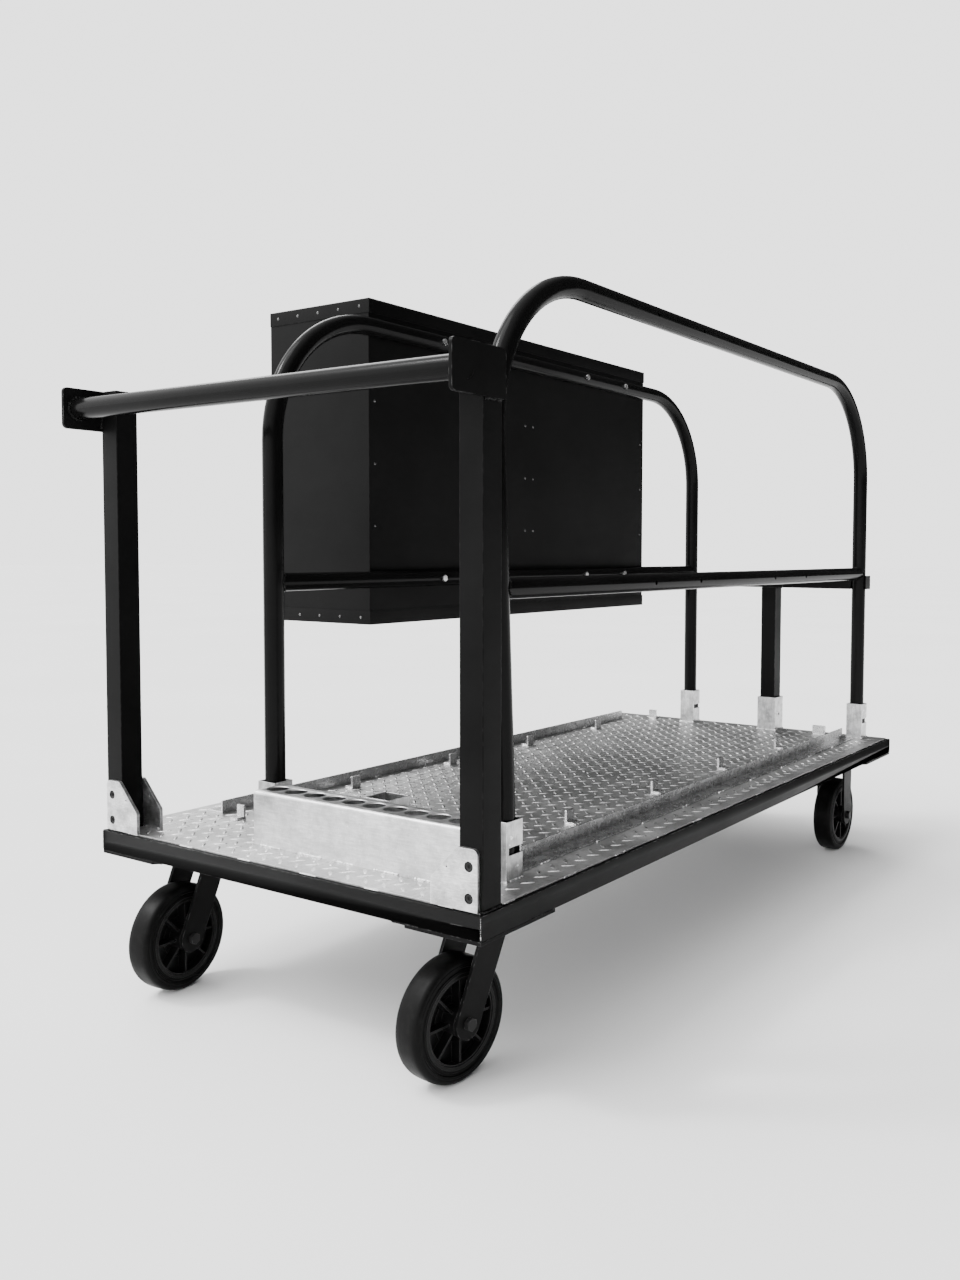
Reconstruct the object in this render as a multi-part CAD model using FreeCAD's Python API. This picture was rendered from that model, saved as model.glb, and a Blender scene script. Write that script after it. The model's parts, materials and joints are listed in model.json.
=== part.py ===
import FreeCAD, Part
import math
import os

from FreeCAD import Vector

# Flat-bed luggage and equipment cart with lift-out side hoops and a hanging storage box.
# Millimetres.  +X is the right-hand side, -Y the handle end, +Z up.
# The origin is the centre of the deck plate's top face.

# ---- driving dimensions ----
DECK_W = 914.4            # across the frame
DECK_L = 1905.0           # along the frame
DECK_HEIGHT = 306.0       # floor to the top of the deck plate
TUBE_SQ = 38.1            # square frame tube
TUBE_WALL = 3.0
PLATE_T = 3.2             # tread plate
PLATE_LIP = 8.0           # frame showing round the plate
FRAME_TOP = -PLATE_T
FRAME_BOTTOM = FRAME_TOP - TUBE_SQ
CROSS_PITCH = 476.0       # cross-members under the plate
FRONT_Y = -DECK_L / 2
REAR_Y = DECK_L / 2
HALF_W = DECK_W / 2

# ---- push handle ----
POST_SQ = 44.45
POST_WALL = 3.2
POST_INSET_X = 3.0        # deck edge to post
POST_INSET_Y = 9.5
POST_TOP = 827.0
POST_X = HALF_W - POST_INSET_X - POST_SQ / 2
POST_Y = FRONT_Y + POST_INSET_Y + POST_SQ / 2
HANDLE_R = 19.05
HANDLE_WALL = 2.5
HANDLE_Z = 791.0
HANDLE_REACH = 37.0       # bar axis ahead of the deck
HANDLE_PLATE_T = 6.0
HANDLE_PLATE_L = 125.0
HANDLE_PLATE_H = 75.0
HANDLE_PLATE_FRONT = 68.0
HANDLE_PLATE_CORNER = 9.0

# ---- gusset plates at the post feet ----
GUSSET_T = 6.35
GUSSET_H = 94.0
GUSSET_INBOARD = 52.0     # past the post's inner face
GUSSET_LOW = 40.0         # height of the inner upright edge
GUSSET_OUTER_GAP = 6.0
GUSSET_CORNER = 9.0
GUSSET_HOLES_Z = (19.0, 67.0)
SCREW_R = 8.2
SCREW_GAP = 0.1
SCREW_HEAD_T = 5.0
SCREW_SOCKET_AF = 6.8
SCREW_SOCKET_DEPTH = 3.0
PILOT_R = 1.6
PILOT_INBOARD = 20.0
PILOT_Z = 61.0

# ---- sockets on the deck ----
SOCKET_H = 98.0
HOOP_SOCKET_SQ = 44.45
HOOP_SOCKET_WALL = 2.7
T_SOCKET_SQ = 57.15
T_SOCKET_WALL = 3.2
HOOP_RIGHT_X = 371.7
HOOP_LEFT_X = -167.3
T_X = (HOOP_RIGHT_X + HOOP_LEFT_X) / 2
LEG_FRONT_Y = -783.0
LEG_REAR_Y = 913.0
T_REAR_Y = 916.5
T_FRONT_Y = -766.5
SLOT_Z = 49.0
SLOT_H = 12.0
SLOT_FROM_FRONT = 7.0
T_PIN_R = 4.0
T_PIN_Z = 47.0

# ---- hoops ----
HOOP_R = 19.05
HOOP_WALL = 2.5
HOOP_TOP_Z = 990.0        # axis of the top rail
HOOP_BEND = 254.0
LOWER_RAIL_R = 17.45
LOWER_RAIL_Z = 472.0
LEG_BOTTOM_Z = 0.2
HOOP_HOLE_R = 4.5
HOOP_HOLE_Y = (-310.5, -117.5, 272.5, 467.5)
RIGHT_LEAN = 2.8          # degrees the right hoop's front leg leans forward above its socket
LEFT_LEAN = 0.0           # the left hoop's front leg stands straight
LEAN_FROM_Z = 108.0
LEAN_BEND = 600.0         # radius of the slight bend where the lean starts

# ---- rear cross bar on its own post ----
T_POST_SQ = 44.45
T_POST_WALL = 3.2
T_POST_FOOT = 0.8
T_POST_TOP = 428.0
T_BAR_SQ = 38.1
T_BAR_WALL = 3.0
T_BAR_PAST_LEG = 5.0
T_BAR_Y = 923.5           # welded a little behind the post's axis
T_NOTCH_R = 21.5

# ---- storage box hung on the left hoop ----
BOX_GAP = 0.1
BOX_SHEET = 1.6
BOX_DEPTH = 295.0
BOX_FRONT_Y = -507.0
BOX_REAR_Y = 636.0
BOX_BOTTOM_Z = 377.0
BOX_TOP_Z = 1054.0
BOX_STRIP = 29.0          # flange of the top and bottom caps
BOX_RETURN = 22.0         # folded edge beside each door
DOOR_GAP = 1.5
DOOR_PAN = 12.0
HINGE_R = 3.0
HINGE_STAND = 0.3         # knuckles clear of the sheet they hang on
HINGE_END_GAP = 0.2       # between neighbouring knuckles, each side
HINGE_LEAF = 17.0
HINGE_LEAF_T = 1.2
HINGE_PIN_R = 1.4
HINGE_BITE = 0.5          # how far a leaf runs into its knuckles
HINGE_KNUCKLES = 13
RIVET_R = 3.2
RIVET_H = 1.3
RIVET_TAPER = 0.55        # top of a rivet head over its base
STRIP_RIVETS = 5
STRIP_RIVET_PITCH = 61.0
COLUMN_RIVET_Z = (584.0, 714.0, 844.0)
PARTITION_RIVET_Y = 17.0
PARTITION_FLANGE = 28.0
PARTITION_GAP = 4.0       # behind the closed doors
CORNER_RIVET_IN = 18.0
BOX_BOLT_R = 4.0
BOX_BOLT_AF = 13.0
BOX_BOLT_HEAD_H = 5.3
WASHER_R = 8.5
WASHER_T = 1.5
PULL_R = 4.0
PULL_BEND = 10.0
PULL_LENGTH = 96.0
PULL_STAND_OFF = 26.0
PULL_FROM_EDGE = 42.0

# ---- rails, clips and stops on the deck; a stop is its middle X, width, upright's Y and facing ----
ANGLE_LEG = 25.4
ANGLE_T = 3.2
RIGHT_RAIL_FACE_X = 335.0
RIGHT_RAIL_FLANGE = 43.0
LEFT_RAIL_FACE_X = -367.8
LEFT_RAIL_FLANGE = 40.0
LEFT_RAIL_Y = (-744.5, 830.5)
CLIP_LENGTH = 26.0
CLIP_H = 27.0
CLIP_FOOT = 22.0
CLIP_T = 4.8
CLIP_Y = (-414.0, -73.0, 259.0, 609.0)
RIGHT_CLIP_X = 253.4
LEFT_CLIP_X = -317.8
STOPS = ((-304.0, 20.0, -747.5, -1), (-291.0, 26.0, 892.5, 1), (268.0, 39.0, 887.5, 1))

# ---- stake holder ----
HOLDER_LEFT_X = -128.8
HOLDER_RIGHT_X = HOOP_RIGHT_X - HOOP_SOCKET_SQ / 2
HOLDER_Y = (-868.5, -796.5)
HOLDER_WALL = 3.2
HOLDER_HOLES = 10
HOLDER_FIRST = 24.2       # left end to the first hole's centre
HOLDER_PITCH = 47.7
HOLDER_HOLE_R = 20.5
HOLDER_BEND = 6.0

# ---- rivets that hold the deck plate to the middle cross-member ----
DECK_RIVET_R = 4.0
DECK_RIVET_H = 1.4
DECK_RIVET_Y = 26.0
DECK_RIVET_X = (-155.0, -68.5, 18.0, 104.5)

# ---- casters ----
WHEEL_R = 100.0
WHEEL_W = 50.8
TYRE_INNER_R = 76.0
TYRE_SHOULDER = 7.0
TYRE_ROUND = 0.3          # how full the shoulder's curve is
HUB_RIM_T = 6.0
HUB_WEB_T = 7.0
HUB_RIBS = 8
HUB_RIB_T = 4.0
HUB_RIB_IN = 4.0          # ribs stop short of the rim's edge
HUB_BITE = 2.0            # ribs and web run into the rim and boss
BOSS_R = 24.0
BOSS_HALF = 31.0
BEARING_R = 15.0
BUSH_R = 10.0
RUNNING_GAP = 0.05
AXLE_BOLT_R = 6.3
AXLE_HEAD_AF = 19.0
AXLE_HEAD_H = 8.0
LEG_GAP_HALF = 34.0       # inside of fork leg to wheel centre
LEG_T = 6.0
CASTER_IN_X = 112.0       # deck edge to swivel axis
CASTER_IN_Y = 141.0
CASTER_TRAIL = 66.0
CORNER_PLATE_T = 6.0
CORNER_PLATE_X = 176.0
CORNER_PLATE_Y = 222.0
CORNER_CLIP = 28.0
TOP_PLATE_X = 102.0
TOP_PLATE_Y = 114.0
TOP_PLATE_T = 6.0
TOP_PLATE_CORNER = 9.0
TOP_BOLT_X = 37.0
TOP_BOLT_Y = 43.0
TOP_BOLT_R = 4.7
TOP_BOLT_AF = 14.0
TOP_BOLT_HEAD_H = 5.0
TOP_NUT_H = 8.0
RACE_R = 38.0
RACE_INNER_R = 24.0
RACE_H = 8.0
RACE_GAP = 1.0
CROWN_T = 8.0
CROWN_R = 42.0
KINGPIN_R = 8.0
KINGPIN_NUT_AF = 24.0
KINGPIN_NUT_H = 9.0
THREAD_TAIL = 3.0         # thread showing past a nut
FORK_TOP_W = 60.0
FORK_FOOT_R = 26.0
YAW = {"fl": 6.0, "fr": -6.0, "rl": 0.0, "rr": 0.0}
AXLE_Z = WHEEL_R - DECK_HEIGHT
CORNER_PLATE_BOTTOM = FRAME_BOTTOM - CORNER_PLATE_T
TOP_PLATE_BOTTOM = CORNER_PLATE_BOTTOM - TOP_PLATE_T
CROWN_TOP = TOP_PLATE_BOTTOM - RACE_H - RACE_GAP

X_AXIS = Vector(1, 0, 0)
Y_AXIS = Vector(0, 1, 0)
Z_AXIS = Vector(0, 0, 1)
OVER = 5.0                # how far a cutting tool runs past its wall
ALONG = 1e-6              # how nearly an edge has to lie along an axis


# ---- helpers ----
def block(x, y, z):
    """Box between the low and high values given for each axis."""
    size = (x[1] - x[0], y[1] - y[0], z[1] - z[0])
    return Part.makeBox(*size, Vector(x[0], y[0], z[0]))


def rod(radius, start, end):
    """Solid cylinder from one point to another."""
    run = end - start
    return Part.makeCylinder(radius, run.Length, start, run)


def ring(outer, inner, start, end):
    """Hollow cylinder from one point to another."""
    return rod(outer, start, end).cut(rod(inner, start, end))


def hexagon(across_flats, start, end):
    """Hexagonal bar from one point to another, for bolt heads and nuts."""
    run = end - start
    corner_r = across_flats / math.sqrt(3)
    side = X_AXIS if abs(run.x) < abs(run.z) else Z_AXIS
    other = run.cross(side)
    other.normalize()
    points = []
    for step in range(7):
        angle = math.radians(60 * step)
        points.append(start + side * (corner_r * math.cos(angle)) + other * (corner_r * math.sin(angle)))
    return Part.Face(Part.makePolygon(points)).extrude(run)


def prism(points, direction):
    """Flat outline pulled along a direction."""
    outline = [Vector(*p) for p in points]
    outline.append(outline[0])
    return Part.Face(Part.makePolygon(outline)).extrude(direction)


def square_tube(size, wall, x, y, z):
    """Upright square tube centred at x, y between two heights."""
    half = size / 2
    outside = block((x - half, x + half), (y - half, y + half), z)
    inner = half - wall
    inside = block((x - inner, x + inner), (y - inner, y + inner), (z[0] - OVER, z[1] + OVER))
    return outside.cut(inside)


def edges_along(shape, axis):
    """Straight edges of a shape that run along one axis."""
    found = []
    for edge in shape.Edges:
        run = edge.Vertexes[-1].Point - edge.Vertexes[0].Point
        if run.Length > 0 and abs(abs(run.dot(axis)) - run.Length) < ALONG:
            found.append(edge)
    return found


def export(name, solids):
    """Write one node: a single solid, or a group of separate ones."""
    if not isinstance(solids, list):
        solids = [solids]
    pieces = []
    for item in solids:
        pieces.extend(item.Solids)
    shape = pieces[0] if len(pieces) == 1 else Part.makeCompound(pieces)
    shape.exportStep("parts/" + name + ".step")


def sides():
    """The two sides of the cart, as sign and letter."""
    return ((-1, "left"), (1, "right"))


# ---- frame and deck ----
def mitred_tube(length, wide_y):
    """Square tube along X with 45 degree ends, its long face at the -Y side."""
    half = TUBE_SQ / 2
    tube = block((-length / 2, length / 2), (-half, half), (FRAME_BOTTOM, FRAME_TOP))
    inner = half - TUBE_WALL
    bore = block((-length / 2 - OVER, length / 2 + OVER), (-inner, inner),
                 (FRAME_BOTTOM + TUBE_WALL, FRAME_TOP - TUBE_WALL))
    tube = tube.cut(bore)
    for sign in (-1, 1):
        end = sign * length / 2
        wedge = prism([(end + sign * OVER, -half - OVER, FRAME_BOTTOM - OVER),
                       (end - sign * (TUBE_SQ + OVER), half + OVER, FRAME_BOTTOM - OVER),
                       (end + sign * OVER, half + OVER, FRAME_BOTTOM - OVER)],
                      Z_AXIS * (TUBE_SQ + 2 * OVER))
        tube = tube.cut(wedge)
    tube.translate(Vector(0, -wide_y / 2 + half, 0))
    return tube


def deck_frame():
    """Four mitred tubes and the cross-members between them."""
    solids = []
    for angle in (0, 180):
        tube = mitred_tube(DECK_W, DECK_L)
        tube.rotate(Vector(0, 0, 0), Z_AXIS, angle)
        solids.append(tube)
    for angle in (90, 270):
        tube = mitred_tube(DECK_L, DECK_W)
        tube.rotate(Vector(0, 0, 0), Z_AXIS, angle)
        solids.append(tube)
    half = TUBE_SQ / 2
    inner = half - TUBE_WALL
    span = HALF_W - TUBE_SQ
    for step in (-1, 0, 1):
        y = step * CROSS_PITCH
        bar = block((-span, span), (y - half, y + half), (FRAME_BOTTOM, FRAME_TOP))
        bore = block((-span - OVER, span + OVER), (y - inner, y + inner),
                     (FRAME_BOTTOM + TUBE_WALL, FRAME_TOP - TUBE_WALL))
        solids.append(bar.cut(bore))
    return solids


def tread_plate():
    """The deck sheet, laid on the frame."""
    x = HALF_W - PLATE_LIP
    y = DECK_L / 2 - PLATE_LIP
    return block((-x, x), (-y, y), (FRAME_TOP, 0))


def deck_rivets():
    """Row of rivet heads across the deck."""
    heads = []
    for x in DECK_RIVET_X:
        base = Vector(x, DECK_RIVET_Y, 0)
        head = Part.makeCone(DECK_RIVET_R, DECK_RIVET_R * RIVET_TAPER, DECK_RIVET_H, base, Z_AXIS)
        heads.append(head)
    return heads


# ---- push handle ----
def handle_post(sign):
    """Square post with a closed top."""
    tube = square_tube(POST_SQ, POST_WALL, sign * POST_X, POST_Y, (0, POST_TOP - POST_WALL))
    half = POST_SQ / 2
    cap = block((sign * POST_X - half, sign * POST_X + half), (POST_Y - half, POST_Y + half),
                (POST_TOP - POST_WALL, POST_TOP))
    return tube.fuse(cap).removeSplitter()


def handle_plates():
    """Rounded plates on the outer faces of the posts, which carry the bar."""
    plates = []
    y = FRONT_Y - HANDLE_PLATE_FRONT
    z = HANDLE_Z - HANDLE_PLATE_H / 2
    for sign, _ in sides():
        face = sign * (POST_X + POST_SQ / 2)
        x = sorted((face, face + sign * HANDLE_PLATE_T))
        plate = block(x, (y, y + HANDLE_PLATE_L), (z, z + HANDLE_PLATE_H))
        plates.append(plate.makeFillet(HANDLE_PLATE_CORNER, edges_along(plate, X_AXIS)))
    return plates


def handle_bar():
    """Round push bar between the two plates."""
    x = POST_X + POST_SQ / 2
    y = FRONT_Y - HANDLE_REACH
    start = Vector(-x, y, HANDLE_Z)
    end = Vector(x, y, HANDLE_Z)
    return ring(HANDLE_R, HANDLE_R - HANDLE_WALL, start, end)


def gusset(sign, y):
    """One bracket plate; y is its low face."""
    outer = POST_X + POST_SQ / 2 - GUSSET_OUTER_GAP
    post_inner = POST_X - POST_SQ / 2
    tip = post_inner - GUSSET_INBOARD
    points = [(sign * outer, y, 0), (sign * outer, y, GUSSET_H), (sign * post_inner, y, GUSSET_H),
              (sign * tip, y, GUSSET_LOW), (sign * tip, y, 0)]
    plate = prism(points, Y_AXIS * GUSSET_T)
    rounded = []
    for edge in edges_along(plate, Y_AXIS):
        point = edge.Vertexes[0].Point
        if point.z > GUSSET_LOW - 1:
            rounded.append(edge)
    plate = plate.makeFillet(GUSSET_CORNER, rounded)
    for z in GUSSET_HOLES_Z:
        start = Vector(sign * POST_X, y - OVER, z)
        plate = plate.cut(rod(SCREW_R, start, start + Y_AXIS * (GUSSET_T + 2 * OVER)))
    start = Vector(sign * (post_inner - PILOT_INBOARD), y - OVER, PILOT_Z)
    return plate.cut(rod(PILOT_R, start, start + Y_AXIS * (GUSSET_T + 2 * OVER)))


def gusset_faces():
    """Low Y of the plates ahead of and behind a post."""
    half = POST_SQ / 2
    return (POST_Y - half - GUSSET_T, POST_Y + half)


def gusset_plates():
    """Pairs of bracket plates on both posts."""
    return [gusset(sign, y) for sign, _ in sides() for y in gusset_faces()]


def post_screws():
    """Recessed socket screws that fill the gusset holes."""
    screws = []
    for sign, _ in sides():
        for y, outward in zip(gusset_faces(), (-1, 1)):
            post_face = y + (GUSSET_T if outward < 0 else 0)
            for z in GUSSET_HOLES_Z:
                start = Vector(sign * POST_X, post_face, z)
                head = rod(SCREW_R - SCREW_GAP, start, start + Y_AXIS * (outward * SCREW_HEAD_T))
                top = start + Y_AXIS * (outward * (SCREW_HEAD_T - SCREW_SOCKET_DEPTH))
                socket = hexagon(SCREW_SOCKET_AF, top, top + Y_AXIS * (outward * OVER))
                screws.append(head.cut(socket))
    return screws


# ---- sockets, rails and clips on the deck ----
def hoop_sockets():
    """Four square sockets, each with a slot open to its rear corner."""
    sockets = []
    half = HOOP_SOCKET_SQ / 2
    for x in (HOOP_LEFT_X, HOOP_RIGHT_X):
        for y in (LEG_FRONT_Y, LEG_REAR_Y):
            tube = square_tube(HOOP_SOCKET_SQ, HOOP_SOCKET_WALL, x, y, (0, SOCKET_H))
            slot = block((x + half - HOOP_SOCKET_WALL - 1, x + half + OVER),
                         (y - half + SLOT_FROM_FRONT, y + half + OVER),
                         (SLOT_Z - SLOT_H / 2, SLOT_Z + SLOT_H / 2))
            sockets.append(tube.cut(slot))
    return sockets


def t_socket(y):
    """Larger square socket for the cross bar's post, with a pin hole in its right face."""
    tube = square_tube(T_SOCKET_SQ, T_SOCKET_WALL, T_X, y, (0, SOCKET_H))
    start = Vector(T_X + T_SOCKET_SQ / 2 - T_SOCKET_WALL - 1, y, T_PIN_Z)
    return tube.cut(rod(T_PIN_R, start, start + X_AXIS * (T_SOCKET_WALL + OVER)))


def angle_rail(face_x, outward, flange, y):
    """Angle along the deck: upright leg at the inner side, flange pointing outward."""
    x = sorted((face_x, face_x + outward * ANGLE_T))
    upright = block(x, y, (0, ANGLE_LEG))
    x = sorted((face_x, face_x + outward * flange))
    foot = block(x, y, (0, ANGLE_T))
    return upright.fuse(foot).removeSplitter()


def angle_rail_right():
    """Rail between the two sockets of the right hoop."""
    half = HOOP_SOCKET_SQ / 2
    y = (LEG_FRONT_Y + half, LEG_REAR_Y - half)
    return angle_rail(RIGHT_RAIL_FACE_X, 1, RIGHT_RAIL_FLANGE, y)


def angle_rail_left():
    """Rail along the left margin of the deck."""
    return angle_rail(LEFT_RAIL_FACE_X, -1, LEFT_RAIL_FLANGE, LEFT_RAIL_Y)


def deck_clips():
    """Short angle pieces beside the rails, and the end stops."""
    pieces = []
    for face_x, outward in ((RIGHT_CLIP_X, 1), (LEFT_CLIP_X, -1)):
        for y in CLIP_Y:
            run = (y - CLIP_LENGTH / 2, y + CLIP_LENGTH / 2)
            upright = block(sorted((face_x, face_x + outward * CLIP_T)), run, (0, CLIP_H))
            foot = block(sorted((face_x, face_x + outward * CLIP_FOOT)), run, (0, CLIP_T))
            pieces.append(upright.fuse(foot).removeSplitter())
    for x, wide, y, facing in STOPS:
        width = (x - wide / 2, x + wide / 2)
        upright = block(width, sorted((y, y + facing * CLIP_T)), (0, CLIP_H))
        foot = block(width, sorted((y, y + facing * CLIP_FOOT)), (0, CLIP_T))
        pieces.append(upright.fuse(foot).removeSplitter())
    return pieces


def stake_hole_x(step):
    """Centre of one hole in the stake holder."""
    return HOLDER_LEFT_X + HOLDER_FIRST + step * HOLDER_PITCH


def stake_holder():
    """Folded box, open at the bottom, with a row of round holes in its top."""
    outside = block((HOLDER_LEFT_X, HOLDER_RIGHT_X), HOLDER_Y, (0, SOCKET_H))
    bends = []
    for edge in outside.Edges:
        if edge.BoundBox.ZMin > SOCKET_H - 1 and edge.BoundBox.XLength > edge.BoundBox.YLength:
            bends.append(edge)
    outside = outside.makeFillet(HOLDER_BEND, bends)
    wall = HOLDER_WALL
    inside = block((HOLDER_LEFT_X + wall, HOLDER_RIGHT_X - wall), (HOLDER_Y[0] + wall, HOLDER_Y[1] - wall),
                   (-OVER, SOCKET_H - wall))
    shell = outside.cut(inside)
    y = (HOLDER_Y[0] + HOLDER_Y[1]) / 2
    for step in range(HOLDER_HOLES):
        start = Vector(stake_hole_x(step), y, SOCKET_H - wall - OVER)
        shell = shell.cut(rod(HOLDER_HOLE_R, start, start + Z_AXIS * (wall + 2 * OVER)))
    return shell


# ---- lift-out hoops ----
def front_leg(x, lean):
    """Where a hoop's front leg starts to lean, and the way it runs from there up."""
    angle = math.radians(lean)
    y = LEG_FRONT_Y - LEAN_BEND * (1 - math.cos(angle))
    z = LEAN_FROM_Z + LEAN_BEND * math.sin(angle)
    return Vector(x, y, z), Vector(0, -math.sin(angle), math.cos(angle))


def leg_at(x, lean, z):
    """Point on the leaning part of a front leg at one height."""
    start, way = front_leg(x, lean)
    return start + way * ((z - start.z) / way.z)


def hoop_path(x, lean):
    """Centre line of a hoop: two legs, two bends and the top rail."""
    turn = HOOP_BEND
    mid = turn * (1 - math.sqrt(0.5))
    rear = LEG_REAR_Y
    top = HOOP_TOP_Z
    angle = math.radians(lean)
    half_turn = math.radians(135 + lean / 2)
    foot = Vector(x, LEG_FRONT_Y, LEG_BOTTOM_Z)
    a = leg_at(x, lean, top - turn - turn * math.sin(angle))
    centre = a + Vector(0, turn * math.cos(angle), turn * math.sin(angle))
    b = centre + Vector(0, turn * math.cos(half_turn), turn * math.sin(half_turn))
    c = centre + Z_AXIS * turn
    d = Vector(x, rear - turn, top)
    e = Vector(x, rear - mid, top - mid)
    f = Vector(x, rear, top - turn)
    g = Vector(x, rear, LEG_BOTTOM_Z)
    edges = []
    if lean > 0:
        soft_start = Vector(x, LEG_FRONT_Y, LEAN_FROM_Z)
        soft_mid = front_leg(x, lean / 2)[0]
        soft_end = front_leg(x, lean)[0]
        edges.append(Part.makeLine(foot, soft_start))
        edges.append(Part.Arc(soft_start, soft_mid, soft_end).toShape())
        foot = soft_end
    edges += [Part.makeLine(foot, a), Part.Arc(a, b, c).toShape(), Part.makeLine(c, d),
              Part.Arc(d, e, f).toShape(), Part.makeLine(f, g)]
    return Part.Wire(edges)


def hoop_sweep(x, lean, radius):
    """Round bar of the given radius along the hoop's centre line."""
    start = Vector(x, LEG_FRONT_Y, LEG_BOTTOM_Z)
    circle = Part.Wire(Part.makeCircle(radius, start, Z_AXIS))
    return hoop_path(x, lean).makePipeShell([circle], True, False)


def bolt_holes(shape, x, z):
    """Drill the four cross holes at one height."""
    for y in HOOP_HOLE_Y:
        start = Vector(x - HOOP_R - OVER, y, z)
        shape = shape.cut(rod(HOOP_HOLE_R, start, start + X_AXIS * (2 * HOOP_R + 2 * OVER)))
    return shape


def hoop_tube(x, lean):
    """Bent tube of one hoop."""
    tube = hoop_sweep(x, lean, HOOP_R).cut(hoop_sweep(x, lean, HOOP_R - HOOP_WALL))
    return bolt_holes(tube, x, HOOP_TOP_Z)


def lower_rail(x, lean):
    """Straight tube between the legs, coped to their round faces."""
    start = leg_at(x, lean, LOWER_RAIL_Z)
    end = Vector(x, LEG_REAR_Y, LOWER_RAIL_Z)
    rail = ring(LOWER_RAIL_R, LOWER_RAIL_R - HOOP_WALL, start, end)
    for point, way in ((start, front_leg(x, lean)[1]), (end, Z_AXIS)):
        run = way * (2 * HOOP_R)
        rail = rail.cut(rod(HOOP_R, point - run, point + run))
    return bolt_holes(rail, x, LOWER_RAIL_Z)


# ---- rear cross bar ----
def t_post():
    """Square post that stands in the rear socket."""
    return square_tube(T_POST_SQ, T_POST_WALL, T_X, T_REAR_Y, (T_POST_FOOT, T_POST_TOP))


def t_bar():
    """Square bar on the post, notched round the rear legs of both hoops."""
    half = T_BAR_SQ / 2
    reach = HOOP_R + T_BAR_PAST_LEG
    x = (HOOP_LEFT_X - reach, HOOP_RIGHT_X + reach)
    y = (T_BAR_Y - half, T_BAR_Y + half)
    z = (T_POST_TOP, T_POST_TOP + T_BAR_SQ)
    bar = block(x, y, z)
    inner = half - T_BAR_WALL
    middle = (HOOP_LEFT_X + reach + T_BAR_WALL, HOOP_RIGHT_X - reach - T_BAR_WALL)
    bar = bar.cut(block(middle, (T_BAR_Y - inner, T_BAR_Y + inner),
                        (z[0] + T_BAR_WALL, z[1] - T_BAR_WALL)))
    for leg_x in (HOOP_LEFT_X, HOOP_RIGHT_X):
        foot = Vector(leg_x, LEG_REAR_Y, z[0] - OVER)
        notch = rod(T_NOTCH_R, foot, foot + Z_AXIS * (T_BAR_SQ + 2 * OVER))
        mouth = block((leg_x - T_NOTCH_R, leg_x + T_NOTCH_R),
                      (LEG_REAR_Y - T_BAR_SQ, LEG_REAR_Y), (z[0] - OVER, z[1] + OVER))
        bar = bar.cut(notch).cut(mouth)
    return bar


# ---- storage box ----
BOX_IN_X = HOOP_LEFT_X - HOOP_R - BOX_GAP
BOX_OUT_X = BOX_IN_X - BOX_DEPTH
BOX_MID_Y = (BOX_FRONT_Y + BOX_REAR_Y) / 2
CAP_LOW = BOX_BOTTOM_Z + BOX_STRIP
CAP_HIGH = BOX_TOP_Z - BOX_STRIP


def box_shell():
    """Back, ends and the edges beside the doors, as plates that meet at the bends."""
    t = BOX_SHEET
    z = (BOX_BOTTOM_Z + t, BOX_TOP_Z - t)
    low_y = BOX_FRONT_Y + t
    high_y = BOX_REAR_Y - t
    back = block((BOX_IN_X - t, BOX_IN_X), (low_y, high_y), z)
    for height in (HOOP_TOP_Z, LOWER_RAIL_Z):
        back = bolt_holes(back, BOX_IN_X, height)
    plates = [back]
    for y in ((low_y, low_y + t), (high_y - t, high_y)):
        plates.append(block((BOX_OUT_X + t, BOX_IN_X - t), y, z))
    for y in ((low_y, low_y + BOX_RETURN), (high_y - BOX_RETURN, high_y)):
        plates.append(block((BOX_OUT_X, BOX_OUT_X + t), y, (CAP_LOW, CAP_HIGH)))
    return plates


def box_cap(z_skin, z_strip):
    """Cap with a strip all round that laps over the shell."""
    t = BOX_SHEET
    x = (BOX_OUT_X, BOX_IN_X + t)
    y = (BOX_FRONT_Y, BOX_REAR_Y)
    inward = t if z_strip > z_skin else -t
    skin = block(x, y, sorted((z_skin, z_skin + inward)))
    z = sorted((z_skin + inward, z_strip))
    strips = [block(x, (y[0], y[0] + t), z), block(x, (y[1] - t, y[1]), z)]
    for low_x in (x[0], x[1] - t):
        strips.append(block((low_x, low_x + t), (y[0] + t, y[1] - t), z))
    return [skin] + strips


def box_partition():
    """Upright sheet between the two compartments, with a strip each way at the back."""
    t = BOX_SHEET
    back = BOX_IN_X - t
    z = (BOX_BOTTOM_Z + t, BOX_TOP_Z - t)
    web = block((BOX_OUT_X + DOOR_PAN + PARTITION_GAP, back - t),
                (BOX_MID_Y - t / 2, BOX_MID_Y + t / 2), z)
    strip = block((back - t, back), (BOX_MID_Y - PARTITION_FLANGE, BOX_MID_Y + PARTITION_FLANGE), z)
    return [web, strip]


def rivet(point, outward):
    """Low domed rivet head on a sheet."""
    return Part.makeCone(RIVET_R, RIVET_R * RIVET_TAPER, RIVET_H, point, outward)


def box_rivets():
    """Rivet heads on the ends, the back and the caps."""
    heads = []
    middle_x = (BOX_OUT_X + BOX_IN_X) / 2
    strip_z = (BOX_BOTTOM_Z + BOX_STRIP / 2, BOX_TOP_Z - BOX_STRIP / 2)
    for z in strip_z:
        for step in range(STRIP_RIVETS):
            x = middle_x + (step - (STRIP_RIVETS - 1) / 2) * STRIP_RIVET_PITCH
            heads.append(rivet(Vector(x, BOX_FRONT_Y, z), Y_AXIS * -1))
            heads.append(rivet(Vector(x, BOX_REAR_Y, z), Y_AXIS))
    columns = (BOX_FRONT_Y + CORNER_RIVET_IN, BOX_MID_Y - PARTITION_RIVET_Y,
               BOX_MID_Y + PARTITION_RIVET_Y, BOX_REAR_Y - CORNER_RIVET_IN)
    for y in columns:
        for z in COLUMN_RIVET_Z:
            heads.append(rivet(Vector(BOX_IN_X, y, z), X_AXIS))
    return heads


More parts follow.
